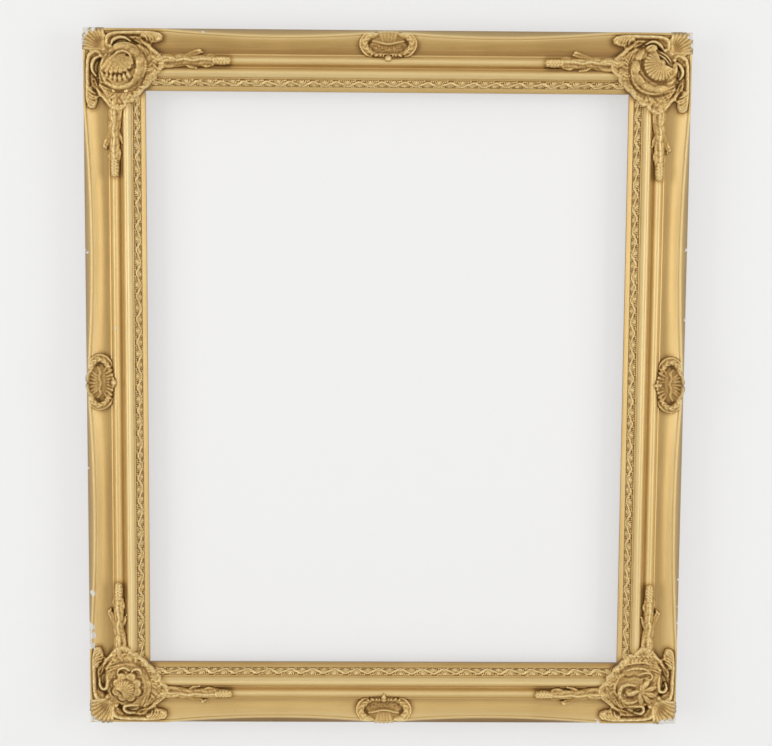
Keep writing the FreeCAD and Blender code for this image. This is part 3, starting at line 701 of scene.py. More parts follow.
def rail_section(shift):
    """Section of a rail where its rim bows out by each shift.

    Gives the distances outwards, the heights and the number of points past the front.
    """
    cove_out = cove_start[0] + np.outer(cove_width + shift, cove_shares)
    cove_height = cove_start[1] + cove_rise * cove_shares - 4 * cove_sag * cove_shares * (1 - cove_shares)
    rim_out = (cove_start[0] + cove_width + shift)[:, None] + rim_front[:, 0]
    rim_height = cove_start[1] + cove_rise + rim_front[:, 1]
    band_out = rim_out[:, -1:] + np.outer(band_width - shift, band_shares)
    band_height = rim_height[-1] - band_drop * band_shares
    rest = [(rail_width, band_height[-1] * share) for share in side_shares]
    rest += [(out, 0) for out in back_outs]
    rest += [(rebate_lip, share * rebate_depth) for share in (0.25, 0.5, 0.75, 1.0)]
    rest += [(share * rebate_lip, rebate_depth) for share in (0.66, 0.33, 0.0)]
    rest += [(0, rebate_depth + 0.5 * (sight_edge_front - rebate_depth))]
    rest = np.array(rest)
    same = np.ones((len(shift), 1))
    outs = np.hstack([same * inner_front[:, 0], cove_out, rim_out, band_out, same * rest[:, 0]])
    heights = np.concatenate([inner_front[:, 1], cove_height, rim_height, band_height, rest[:, 1]])
    return outs, same * heights, len(rest)


def shadow_and_dirt_beside(points):
    """Painted contact shadow and dirt beside the glued ornaments, from 0 to 1."""
    x, z = np.abs(points[..., 0]) / MM, np.abs(points[..., 2]) / MM
    p, q = half_width - x, half_height - z
    gap = inside_outline(p, q, casting_outline)[1]
    for along, aside in ((p, q), (q, p)):
        past_tip = np.clip(along - arm_bud, 0, None)
        arm = np.where(along > arm_root, np.hypot(past_tip, aside - torus_q) - arm_half, 1e9)
        gap = np.minimum(gap, np.clip(arm, 0, None))
    for from_middle, aside in ((x, q), (z, p)):
        shares = from_middle / cartouche_oval[0], (aside - cartouche_line) / cartouche_oval[1]
        gap = np.minimum(gap, np.clip(oval_size * (np.hypot(*shares) - 1), 0, None))
    return np.exp(-(gap / shadow_dirt_reach) ** 2)


def mean_height(line, reach, count):
    """Mean height of a section's front within a reach of each of its points."""
    places, heights = line.T
    return np.interp(places[:, None] + np.linspace(-reach, reach, count), places, heights).mean(1)


def front_tone(line, side):
    """Tone across a rail's front: light ridges, dark grooves, painted light and shade on stretches of each
    side, painted shade at the cove's foot and on the outer band.
    """
    places, heights = line.T
    fine = heights - mean_height(line, 2.4, 13)
    broad = heights - mean_height(line, 9, 25)
    tone = np.clip(mid_tone + fine_share * fine + broad_share * broad, *tone_limits)
    # painted light and shade on stretches of this side's inner members
    for first, last, change in side_light_and_shade[side]:
        tone += change * np.clip(np.minimum(places - first, last - places) / 0.8, 0, 1)
    cove = slice(len(inner_front), len(inner_front) + len(cove_shares))
    # painted light on the cove's outer part and painted shade towards its foot, partly toning in the recess
    tone[cove] += 0.10 - cove_foot_shade[side] * (1 - cove_shares) ** 0.5
    # outer band darker towards its outer edge, with painted shade by side
    tone[-len(band_shares):] = np.linspace(0.50, 0.34, len(band_shares)) - outer_band_shade[side]
    return tone


def rail_mesh(side):
    """One rail with mitred ends: gilt in front and at the sides, bare wood behind."""
    turn, run = sides[side][:2]
    stations = np.linspace(-1, 1, int(run / 2.4) // 2 * 2 + 1)
    out, height, plain = rail_section(sweep_shift(stations * (run / 2 + rail_width), run))
    rows, cols = out.shape
    along = stations[:, None] * (run / 2 + out)
    front = cols - plain
    waver = smooth_noise(out.shape, (run / 60, 6), 11 + turn)
    ripple = smooth_noise(out.shape, (run / 14, 22), 12 + turn)
    uneven = np.zeros(cols)
    uneven[2:front - 2] = 1
    height = height + (0.09 * waver + 0.035 * ripple) * uneven
    line = np.stack([out[rows // 2], height[rows // 2]], -1)[:front]
    points = on_side(np.stack([along, out, height], -1), side)
    tone = np.full(out.shape, wood_tone)
    # painted contact shadow and dirt darken the rail beside the ornaments
    tone[:, :front] = front_tone(line, side) - shadow_dirt_depth * shadow_and_dirt_beside(points[:, :front])
    chip = chip_field(points)
    wood = slice(front + len(side_shares) - 1, cols - lip_rows)
    dent = np.clip(chip - dent_from, 0, 1) * dent_depth
    dent[:, wood.start - 1:] = 0
    height = height - dent * (height > dent_floor)
    points = on_side(np.stack([along, out, height], -1), side)
    dull = np.zeros(out.shape)
    # wear on the outer band, lessened where it carries painted shade
    worn = np.linspace(0.35, 0.9, len(band_shares)) * (1 - 1.6 * outer_band_shade[side])
    dull[:, front - len(band_shares):front] = worn
    dull[:, front:] = 1
    flow = np.stack([along + 700 * turn, out, height], -1)
    index = np.arange(rows * cols).reshape(rows, cols)
    wrapped = np.hstack([index, index[:, :1]])
    quads = np.stack([wrapped[:-1, :-1], wrapped[1:, :-1], wrapped[1:, 1:], wrapped[:-1, 1:]], -1)
    kinds = np.zeros((rows - 1, cols), int)
    kinds[:, wood] = 1
    attributes = {"tone": tone.ravel(), "chip": chip.ravel(), "dull": dull.ravel(),
                  "flow": flow.reshape(-1, 3)}
    faces = {"quads": quads.reshape(-1, 4), "caps": [index[0][::-1], index[-1]]}
    return new_mesh("gilt_rail_" + side, points.reshape(-1, 3), faces, attributes, [gilt_rail, wood_back],
                    np.append(kinds.ravel(), [1, 1]), 38)


# Running leaf ornament
leaf_pitch = 24
strip_width = 9.4
strip_step = 0.4


def leaf_repeat():
    """One repeat of the strip: a waving stem with nested leaves in each bend and buds between them."""
    lead = 2
    f = Relief((-lead, leaf_pitch + lead), (0, strip_width), strip_step)
    f.base, f.ground, f.height = (np.zeros(f.p.shape) for _ in range(3))
    along = np.linspace(-3, leaf_pitch + 3, 19)
    f.stroke([(a, 4.7 + 2.7 * math.sin(2 * math.pi * a / leaf_pitch)) for a in along], 1.05, 2.3)
    for middle, foot, way in ((0.25 * leaf_pitch, 0.5, 1), (0.75 * leaf_pitch, 8.9, -1)):
        for wide, tall in ((6.6, 5), (4.5, 3.5), (2.4, 2)):
            turns = np.linspace(0.06, 0.94, 9) * math.pi
            leaf = [(middle + wide * math.cos(t), foot + way * tall * math.sin(t)) for t in turns]
            f.stroke(leaf, [0.6, 0.8, 0.9, 0.8, 0.6], [1.2, 2, 2.2, 2, 1.2])
        f.dome((middle, foot + way * 0.6), (1.1, 0.9), 1.5)
    for spot in ((0.4, 8.2), (2.6, 8.4), (12.3, 1), (14.4, 0.9), (11.8, 8), (9.8, 8.5), (23.6, 1.3),
                 (21.8, 0.9)):
        f.dome(spot, (1.1, 0.8), 1.9)
    first = round(lead / strip_step)
    return f.height[first:first + round(leaf_pitch / strip_step)]


def strip_mesh(side):
    """Leaf strip of one side, laid on the rail's sloping bed and mitred like the rail."""
    turn, run = sides[side][:2]
    first, last = np.array(bed_first), np.array(bed_last)
    slope = last - first
    length = math.hypot(*slope)
    normal = np.array([-slope[1], slope[0]]) / length
    half = run / 2 + bed_last[0]
    count = math.ceil(2 * half / leaf_pitch)
    relief = np.tile(leaf_repeat(), (count, 1))
    rows, cols = relief.shape
    relief = relief * (1 + 0.22 * smooth_noise(relief.shape, (count * 2, 2), 31 + turn))
    relief = blurred(relief, 0.26, strip_step)
    relief += 0.10 * smooth_noise(relief.shape, (rows / 3, cols / 3), 32 + turn)
    share = np.linspace(0.015, 0.985, cols)
    edge = np.minimum(1, np.minimum(share, 1 - share) / 0.05)
    t = np.linspace(-1, 1, rows)[:, None]

    def place(raised):
        out = first[0] + slope[0] * share + normal[0] * raised
        height = first[1] + slope[1] * share + normal[1] * raised
        return on_side(np.stack([t * (run / 2 + out), out, height], -1), side)

    top = place(0.25 + relief * edge)
    bottom = place(np.full(relief.shape, -0.6))
    tone = np.clip(0.60 + 0.85 * (relief - blurred(relief, 1.4, strip_step)), 0, 1)
    flow = np.stack([t * half + 0 * relief + 700 * turn, 30 + share * length + 0 * relief, relief], -1)
    keep = np.ones((rows - 1, cols - 1), bool)
    attributes = {"tone": tone, "chip": 0 * tone, "dull": 0 * tone, "flow": flow}
    return relief_solid("leaf_run_" + side, top, bottom, keep, attributes, gilt_ornament)


# Corners
corner_signs = {"bottom_left": (-1, -1), "bottom_right": (1, -1), "top_left": (-1, 1), "top_right": (1, 1)}
corner_step = 0.45
casting_reach, fan_reach = 87, 33
boss = (38.5, 38.5)


def corner_place(corner, swap=False):
    """Turns places from the outer corner (along X, along Z) and a height to metres."""
    toward_x, toward_z = corner_signs[corner]

    def place(p, q, height):
        if swap:
            p, q = q, p
        return np.stack([toward_x * (half_width - p), -height, toward_z * (half_height - q)], -1) * MM

    return place


def mirrored(points):
    """The same points on the other side of the diagonal."""
    return [(q, p) for p, q in points]


def arc(centre, radius, first, last, count=9, squeeze=1):
    """Points along a round stretch, angles in degrees from the X direction."""
    turns = np.radians(np.linspace(first, last, count))
    return [(centre[0] + radius * math.cos(t), centre[1] + radius * squeeze * math.sin(t)) for t in turns]


def pair(f, points, width, height, uneven=None, **style):
    """The same strand on both sides of the diagonal, the second a little different."""
    f.stroke(points, width, height, **style)
    twin = mirrored(points)
    if uneven is not None:
        twin = [(p + uneven(-0.6, 0.6), q + uneven(-0.6, 0.6)) for p, q in twin]
    f.stroke(twin, width, height, **style)


def carve_pair(f, points, width, depth):
    """The same groove on both sides of the diagonal."""
    f.carve(points, width, depth)
    f.carve(mirrored(points), width, depth)


def corner_relief(reach):
    """Relief over a corner of the frame, its places measured from the outer corner."""
    f = Relief((0.2, reach), (0.2, reach), corner_step)
    f.edge = np.minimum(f.p, f.q)
    f.start(front_height(rail_width - f.edge, sweep_sagitta), 1.6, 7.0)
    return f


def casting_ground(f, crown):
    """Smooth swelling body of a corner casting over the moulding."""
    reach = np.hypot(f.p - boss[0], f.q - boss[1])
    body = blurred(f.base, 9.0, corner_step) + 2.8 + crown * np.exp(-(reach / 25) ** 4)
    for _ in range(6):
        body = body + blurred(np.maximum(f.base + 0.9 - body, 0), 4.0, corner_step) * 1.6
    f.ground = body


half_outline = [
    (18, 18), (21, 12), (24, 5.4), (34, 3.2), (60, 2.7), (72, 2.9), (79, 4.2), (82.6, 7.8), (81, 12.4),
    (76, 14.6), (70.6, 15.2), (69.8, 17.6), (74.6, 21.6), (80.6, 26.6), (84.4, 33), (83.6, 40), (79.4, 45),
    (76.6, 46.6), (75.4, 50.6), (70, 54), (66.6, 58.2), (61.6, 61.6),
]
casting_outline = half_outline + mirrored(half_outline[-2:0:-1])


def leaf_row(f, draw, inner, outer, count, way):
    """Row of short slanting leaves round the boss, between two distances from it."""
    first, last = -42, 132
    for k in range(count):
        angle = first + (last - first) * (k + draw(0.1, 0.9)) / count
        bend = draw(3, 12) * way * (1 if angle > 45 else -1)
        wide = 1.35 * draw(0.75, 1.3)
        tall = 1.5 * draw(0.6, 1.3)
        leaf = []
        for reach, turn in ((inner, 0), (0.5 * (inner + outer), 0.35 * bend), (outer, bend)):
            leaf += arc(boss, reach + draw(-0.9, 0.9), angle + turn, angle + turn, 1)
        f.stroke(leaf, wide * np.array([0.55, 1, 1.05, 0.5]), tall * np.array([0.5, 1, 1, 0.4]))


def leafy_edge(f, draw, points, rise):
    """Overlapping small leaves along a line and along its mirror image."""
    for line in (points, mirrored(points)):
        path = f.path(line)
        lengths = run_lengths(path)
        for at in np.arange(1.2, lengths[-1], 2.3):
            spot = [np.interp(at, lengths, path[:, k]) + draw(-1.3, 1.3) for k in (0, 1)]
            ahead = [np.interp(at + 1, lengths, path[:, k]) for k in (0, 1)]
            heading = math.degrees(math.atan2(ahead[1] - spot[1], ahead[0] - spot[0])) + draw(30, 100)
            f.dome(spot, (draw(1.9, 3.2), draw(1.1, 1.7)), rise * draw(0.5, 1.3), heading)


def casting_skin(f, draw, seed, rim_rise):
    """Body, leafy skirts, inner edge and slanting leaves that all four castings share."""
    reach = np.hypot(f.p - boss[0], f.q - boss[1])
    rough = np.clip((reach - 22) / 8, 0.25, 1)
    f.sheet(casting_outline, 0.0, (0.36 * f.grain(3.4, seed) + 0.5 * f.grain(1.9, seed + 1)) * rough)
    for row, inner in enumerate((48, 43.2, 38.4, 33.6, 28.8)):
        leaf_row(f, draw, inner - 0.8, inner + 5.4, 44 - 5 * row, 1 - 2 * (row % 2))
    f.carve(arc(boss, 37.6, -30, 120, 17), 0.8, 0.8)
    f.carve(arc(boss, 26.6, -34, 124, 17), 0.8, 0.7 + 0.3 * rim_rise)
    leafy_edge(f, draw, [(81, 29), (81.4, 37), (76.4, 43.4), (68, 51), (59.4, 59)], 1 + 0.5 * rim_rise)
    for k in range(7):
        root = np.array([47 + 2.6 * k, 11 + 0.55 * k])
        tip = np.array([59.5 + 3.1 * k, 29.5 - 0.3 * k])
        points = [root, root + (4.6, 2.6), 0.5 * (root + tip) + (2.4, -0.6), tip]
        pair(f, points, [0.8, 1.35, 1.45, 0.7], [1.4, 2.6, 2.2, 0.8], draw, ribs=4.4, slant=0.9)
    for points in ([(53.5, 10.8), (59.5, 14.6), (64.6, 20.4)], [(60.8, 10.2), (66.8, 13.6), (71.6, 18.8)],
                   [(58, 15.6), (64, 19), (70, 24.4)], [(48, 13.6), (54, 17), (60, 23)]):
        carve_pair(f, points, [0.9, 1, 0.7], [2.6, 1.9, 0.6])


def edge_scrolls(f, draw, curl):
    """Long bead along both outer edges, with a leafy end, over a dark cavity with a curl in it."""
    carve_pair(f, [(31, 17), (36, 13.5), (43, 12.4), (50, 13.2), (56, 15.4)], [2.2, 3.2, 3.3, 2.6, 1.2], 6)
    carve_pair(f, [(36, 8.2), (48, 7.6), (60, 7.6), (70, 8)], [0.7, 0.9, 0.9, 0.7], [1.4, 2.6, 2.6, 1.2])
    bead = [(27.6, 20), (24.6, 16), (25, 10.6), (29.4, 6.6), (37, 5.2), (48, 4.8), (60, 4.7), (70, 4.9),
            (76, 6.6)]
    pair(f, bead, [1.4, 2, 2.3, 1.8, 2.1, 1.7, 2.2, 1.9, 2.2], [1.6, 2.5, 2.9, 2.2, 3, 2.3, 3, 2.3, 1.8],
         draw, ribs=8, slant=0.5)
    pair(f, curl, [1.1, 1.8, 1.8, 1.6, 1], [1.2, 2.2, 2.2, 1.9, 1.2])
    for centre, radii, tall, heading in (
            ((76.4, 9.4), (5, 4), 3, 30), ((70.4, 9.4), (5, 2.6), 3, 4), ((63.4, 8), (4.6, 2.2), 2.8, 8),
            ((28, 18.4), (2.6, 2), 3.2, 30), ((79, 7.4), (2.6, 2), 3.4, 40),
            ((77.6, 11.8), (3, 1.8), 3.3, 10)):
        f.dome(centre, radii, tall, heading)
        f.dome(centre[::-1], radii, tall, 90 - heading)
    for k in range(6):
        root = (61.4 + 3.1 * k, 6 + 0.1 * k)
        leaf = [root, (root[0] + 3.2, 8.8 + 0.1 * k), (root[0] + 4.4, 12.4 - 0.1 * k)]
        pair(f, leaf, [0.9, 1.5, 0.8], [2.8, 3.7 - 0.12 * k, 2.2], draw)
    for k in range(5):
        root = (64.4 + 3.1 * k, 6.6)
        carve_pair(f, [root, (root[0] + 2, 8.9), (root[0] + 3, 12)], 0.5, 0.9)


def casting(draw, seed, crown, rim_rise, curl):
    """What the four castings have in common, ready for the ornament round the boss."""
    f = corner_relief(casting_reach)
    casting_ground(f, crown)
    casting_skin(f, draw, seed, rim_rise)
    edge_scrolls(f, draw, curl)
    return f


def cast(f, roughness, seed):
    """The casting cut to its outline, with the softness of a cast."""
    f.trim(casting_outline, 1.6)
    f.finish(roughness, seed + 5)
    return f


def shell_corner(seed):
    """Top left: an undulating shell with a toothed lip, sunk in a smooth swelling collar."""
    draw = np.random.default_rng(seed).uniform
    curl = [(29, 17.5), (31, 12.6), (36.4, 9.9), (43, 10), (48.5, 13.4)]
    f = casting(draw, seed, 3.4, 1.7, curl)
    f.stroke([(29, 23), (35, 19.4), (43, 18.8), (51, 22), (57.4, 29), (59.6, 38), (57, 47), (52, 53)],
             [2.6, 4.4, 5.4, 5.8, 5.8, 5.2, 4.2, 2.4], [1.6, 2.8, 3.6, 3.4, 3.7, 2.9, 2.5, 1.2],
             ribs=9.5, slant=0.25)
    f.stroke([(24, 27), (20.6, 34), (19.6, 42), (21.4, 50), (27, 57), (36, 60), (46, 58), (53, 52)],
             [1.6, 2.2, 2.2, 2.2, 2.4, 2.6, 2.4, 1.4], [1.4, 2.4, 2.4, 2.4, 2.6, 2.8, 2.4, 1.2],
             ribs=7, slant=0.4)
    f.stroke([(28, 27), (25, 33), (24, 40)], [1.2, 2, 1.4], [1.6, 2.6, 1.8])
    f.stroke([(24, 49), (30, 54.6), (38, 56.2), (46, 53.8)], [1, 1.6, 1.7, 1], [1.4, 2, 2, 1.2])
    f.carve([(17.4, 46), (20.4, 55), (28, 61.6), (38, 63.8), (48, 61.6), (56, 55)], 0.8, 1.2)
    for place, radii, tall in (((41, 18.6), (6.4, 3.8), 3.6), ((51.4, 23.4), (5.6, 4.4), 3.8),
                               ((58.2, 33), (4.4, 6.8), 3.7), ((57.4, 43.6), (4, 5.6), 3.1)):
        f.dome(place, radii, tall, 8)
    f.pit((38, 37), (13.5, 12.5), 1.5)
    tips = [(20.5, 40.5), (24.5, 43.6), (29.5, 44.6), (34.5, 43.6), (39.5, 44.2), (44, 42.6), (48, 39.6),
            (50.4, 35.4)]
    for k, tip in enumerate(tips):
        root = (45.5 - 0.4 * k, 24.5 + 0.7 * k)
        middle = (0.5 * (root[0] + tip[0]) - 2.2 + 0.6 * k, 0.5 * (root[1] + tip[1]) - 2.6 + 0.2 * k)
        f.stroke([root, middle, tip], [1, 2.1, 3, 2.7], [2, 2.9, 3.1, 2.4], veins=2)
    f.carve([(19.5, 43.5), (25, 46.8), (31, 47.6), (38, 47), (45, 45.6), (51, 41)], 0.8, 1.3)
    for k, place in enumerate(((24.6, 48.6), (29, 50.6), (33.6, 51.6), (38.4, 51.6), (43, 50.4), (47.2, 48))):
        root = (place[0] + 0.3 * (2.5 - k), place[1] - 3.2)
        tip = (place[0] - 0.5 * (2.5 - k), place[1] + 1.8)
        f.stroke([root, place, tip], [1.4, 2.4, 1.7], [1.6, 2.4, 1.7])
    f.carve([(24, 52.4), (30, 55), (38, 55.8), (46, 54), (51, 50)], 0.8, 1.1)
    f.stroke([(31, 29.5), (36, 25), (42, 23.6), (48, 26.4), (51.4, 33)], [0.9, 1.6, 1.8, 1.6, 0.9],
             [2.4, 3.6, 3.9, 3.7, 2.4])
    f.carve([(34, 29), (38, 26.6), (43, 26.2), (47, 29)], 0.7, 1)
    f.carve([(52.4, 28), (54, 34), (53.2, 40)], 0.9, 1.1)
    f.stroke([(60, 26), (64, 33), (64.4, 41), (61, 49)], [1, 1.7, 1.7, 1], [1.4, 2.2, 2.2, 1.2],
             ribs=3.4, slant=0.6)
    return cast(f, 0.24, seed)


def fan_corner(seed):
    """Top right: a fine-ribbed fan among smooth swelling lumps."""
    draw = np.random.default_rng(seed).uniform
    curl = [(30, 17.5), (33.4, 13), (38, 10.2), (43, 10), (47.5, 12.4)]
    f = casting(draw, seed, 3, 1.6, curl)
    for place, radii, tall, heading in (((42, 16.6), (6.2, 4.4), 3.6, 10), ((53, 23.6), (7.4, 4.8), 3.5, 35),
                                        ((58.4, 36), (4.6, 7.8), 3.1, 0), ((55, 48), (4.6, 8), 2.6, 42),
                                        ((45, 56), (8.4, 3.8), 2.1, -22), ((32, 57.6), (10.4, 4.2), 2.6, 6),
                                        ((22, 48.4), (4.4, 7), 2.4, -20), ((18, 38), (3.4, 7.4), 2.2, 0)):
        f.dome(place, radii, tall, heading=heading)
    hinge = (32.4, 31.6)
    f.carve(arc(hinge, 19.8, -58, 148, 17), 1.1, 1.5)
    f.stroke(arc(boss, 24.2, -20, 110, 11), [0.9, 1.3, 1.3, 0.9], [1.6, 2.2, 2.2, 1.6], ribs=5, slant=0.5)
    f.shell(hinge, 45, 18.6, 226, 17, 4.1, dip=0.06, groove=1, lift=0.6, side_share=0.22)
    for points in ([(22.5, 29.5), (27, 24.6), (33, 20.4)], [(24.5, 32), (29, 27), (35.2, 22.8)]):
        f.stroke(points, [0.8, 1.3, 0.9], [3, 4.4, 3.2])
    f.dome((31.4, 30.8), (4, 3.2), 4.8, heading=-40)
    f.carve([(44, 50.6), (50.5, 46.6), (54.6, 40.4)], 0.8, 1.2)
    return cast(f, 0.24, seed)


def rosette_corner(seed):
    """Bottom left: a broad lobed rosette with a fine-ribbed heart inside a C-scroll."""
    draw = np.random.default_rng(seed).uniform
    curl = [(50, 18.6), (43, 19), (37, 17.4), (36.4, 13.4), (41, 10.8), (47, 10.4)]
    f = casting(draw, seed, 3.2, 0.7, curl)
    pair(f, [(46, 21), (54, 22), (60.4, 28), (63.4, 36), (62.8, 44), (59.4, 50)], [1, 1.6, 1.8, 1.8, 1.6, 1],
         [0.3, 0.6, 0.7, 0.7, 0.6, 0.3], draw, ribs=4.4, slant=0.6)
    heart = np.array([39.4, 39])
    f.carve(arc(heart, 17.4, 0, 360, 31), 0.9, 1)
    for k in range(8):
        angle = 22 + 45 * k + draw(-4, 4)
        turn = math.radians(angle)
        reach = 11.2 + draw(-0.7, 0.9)
        ahead = np.array([math.cos(turn), math.sin(turn)])
        tip = heart + reach * ahead
        f.dome(tip, (5.2, 5.4), 3, angle)
        f.carve(arc(tip, 5.6, angle - 60, angle + 60, 7), 0.9, 1.5)
        f.pit(heart + 1.06 * reach * ahead, (2.6, 3), 1, angle)
    f.carve(arc(heart, 9, 0, 360, 21), 0.8, 1.2)
    f.shell((35, 35.4), 42, 13.4, 240, 15, 4.2, dip=0.06, groove=1.1, lift=0.5, side_share=0.36)
    f.dome((35.2, 36), (3, 2.6), 4.4, heading=-45)
    f.stroke([(45, 55.6), (47.6, 58.2), (52.4, 57.2), (54.6, 52.6)], [1, 1.6, 1.6, 1], [2, 3, 3, 2])
    f.stroke([(29.6, 52.6), (31.6, 58.4), (37.4, 60.4), (42.6, 57)], [1, 1.6, 1.6, 1], [2, 3, 3, 2])
    return cast(f, 0.26, seed)


def scroll_corner(seed):
    """Bottom right: a C-scroll round a ribbed knob beside a spray of leaves, over a wavy crest."""
    draw = np.random.default_rng(seed).uniform
    curl = [(50, 18.6), (43, 19.4), (36, 18.4), (34.6, 13.8), (38, 11), (44, 11.6)]
    f = casting(draw, seed, 3.2, 0.6, curl)
    f.stroke([(62, 28.6), (66.4, 36), (65.6, 44), (61, 50.6)], [1, 1.6, 1.6, 1], [1.2, 1.9, 1.9, 1.2])
    scroll = [(40, 27.6), (46, 23.8), (53.6, 23.4), (59.6, 28), (61.2, 34.6), (58.6, 41.2), (51.6, 44),
              (45, 42.8)]
    f.stroke(scroll, [1.1, 2, 2.4, 2.5, 2.5, 2.3, 1.9, 1.1], [1.6, 2.6, 3, 3.1, 3.1, 2.9, 2.4, 1.4],
             ribs=5, slant=0.6)
    f.carve([(45.6, 39), (51.6, 40.2), (56, 35.6), (53.6, 29.4), (46.4, 28.6)], 1.5, 2.4)
    f.stroke([(43, 36.6), (46.8, 34.8), (51, 33.4)], [2.6, 3.2, 2.4], [2.8, 3.5, 2.8], ribs=1.9)
    root = (39.6, 36.4)
    for tip, wide in (((37.6, 21.4), 3.6), ((28.6, 23.2), 4.4), ((22.8, 30.8), 4.6), ((23.2, 40.4), 4.6),
                      ((30.2, 48.4), 4.2)):
        middle = [0.5 * (tip[k] + root[k]) + draw(-0.9, 0.9) for k in (0, 1)]
        f.stroke([root, middle, tip], [2, wide, wide, 1.8], [2.2, 3.3, 3.2, 1.6], veins=2)
    for tip in ((33, 22.6), (25, 26.6), (22.4, 35.6), (26.4, 45), (35.6, 49.4)):
        f.carve([[0.7 * root[k] + 0.3 * tip[k] for k in (0, 1)], tip], [0.6, 1], 1.6)
    f.stroke([(41, 54.6), (34.6, 56.6), (28.6, 55.2), (26.6, 51.2), (29.8, 49), (33, 51)],
             [0.9, 1.3, 1.4, 1.3, 1.2, 0.9], [1.4, 2.4, 2.6, 2.6, 2.4, 1.8])
    f.carve([(34, 52.6), (40, 51.4), (46, 52.8), (52, 51), (59, 52.6)], 1, 1.8)
    f.stroke([(27, 54), (31, 58.6), (38, 61), (46, 60.6), (53, 57.4)], [0.9, 1.5, 1.7, 1.5, 0.9],
             [1.4, 2.2, 2.4, 2.2, 1.4], ribs=4, slant=0.5)
    f.stroke([(57, 53), (63, 51.6), (69, 51.8), (74, 49.6)], [1.4, 2.4, 2.6, 1.6], [1.4, 2.2, 2.2, 1.2],
             ribs=3.6)
    f.stroke([(28, 64), (35, 67), (44, 67), (52, 63.6)], [1, 1.5, 1.5, 1], [1.2, 1.8, 1.8, 1.2])
    return cast(f, 0.26, seed)


# Fans and arms, an arm's places measured along its rail from the outer corner and from the outer edge
arm_step = 0.4
arm_span, arm_band = (74, 155), (15, 48)
bud_middle = 141.5


def fan_relief(rosette, seed):
    """Small scallop over the outer corner with a curl on each side."""
    f = corner_relief(fan_reach)
    f.ground = blurred(f.base, 4, corner_step) + 0.6
    hinge = (25.5, 25.5) if rosette else (22.5, 22.5)
    radius = 30 if rosette else 27.5
    f.sheet(arc(hinge, radius * 0.86, 180, 270, 9) + [(27, 12), (26, 26), (12, 27)], 0.4)
    f.shell(hinge, 225, radius, 92, 9, 5, dip=0.07, groove=1.1, lift=0.4, side_share=0.20)
    f.pit((15.5, 15.5), (4.2, 6), 1.6, heading=45)
    f.dome((21.5, 21.5), (3.4, 4.6), 6, heading=45)
    pair(f, [(20.5, 24), (23.5, 20), (24.5, 13.5), (22.8, 7.5), (19.4, 6.2)], [1.3, 2, 2.1, 1.7, 1.2],
         [3.4, 4.4, 4.4, 3.8, 2.6])
    f.finish(0.15, seed)
    return f


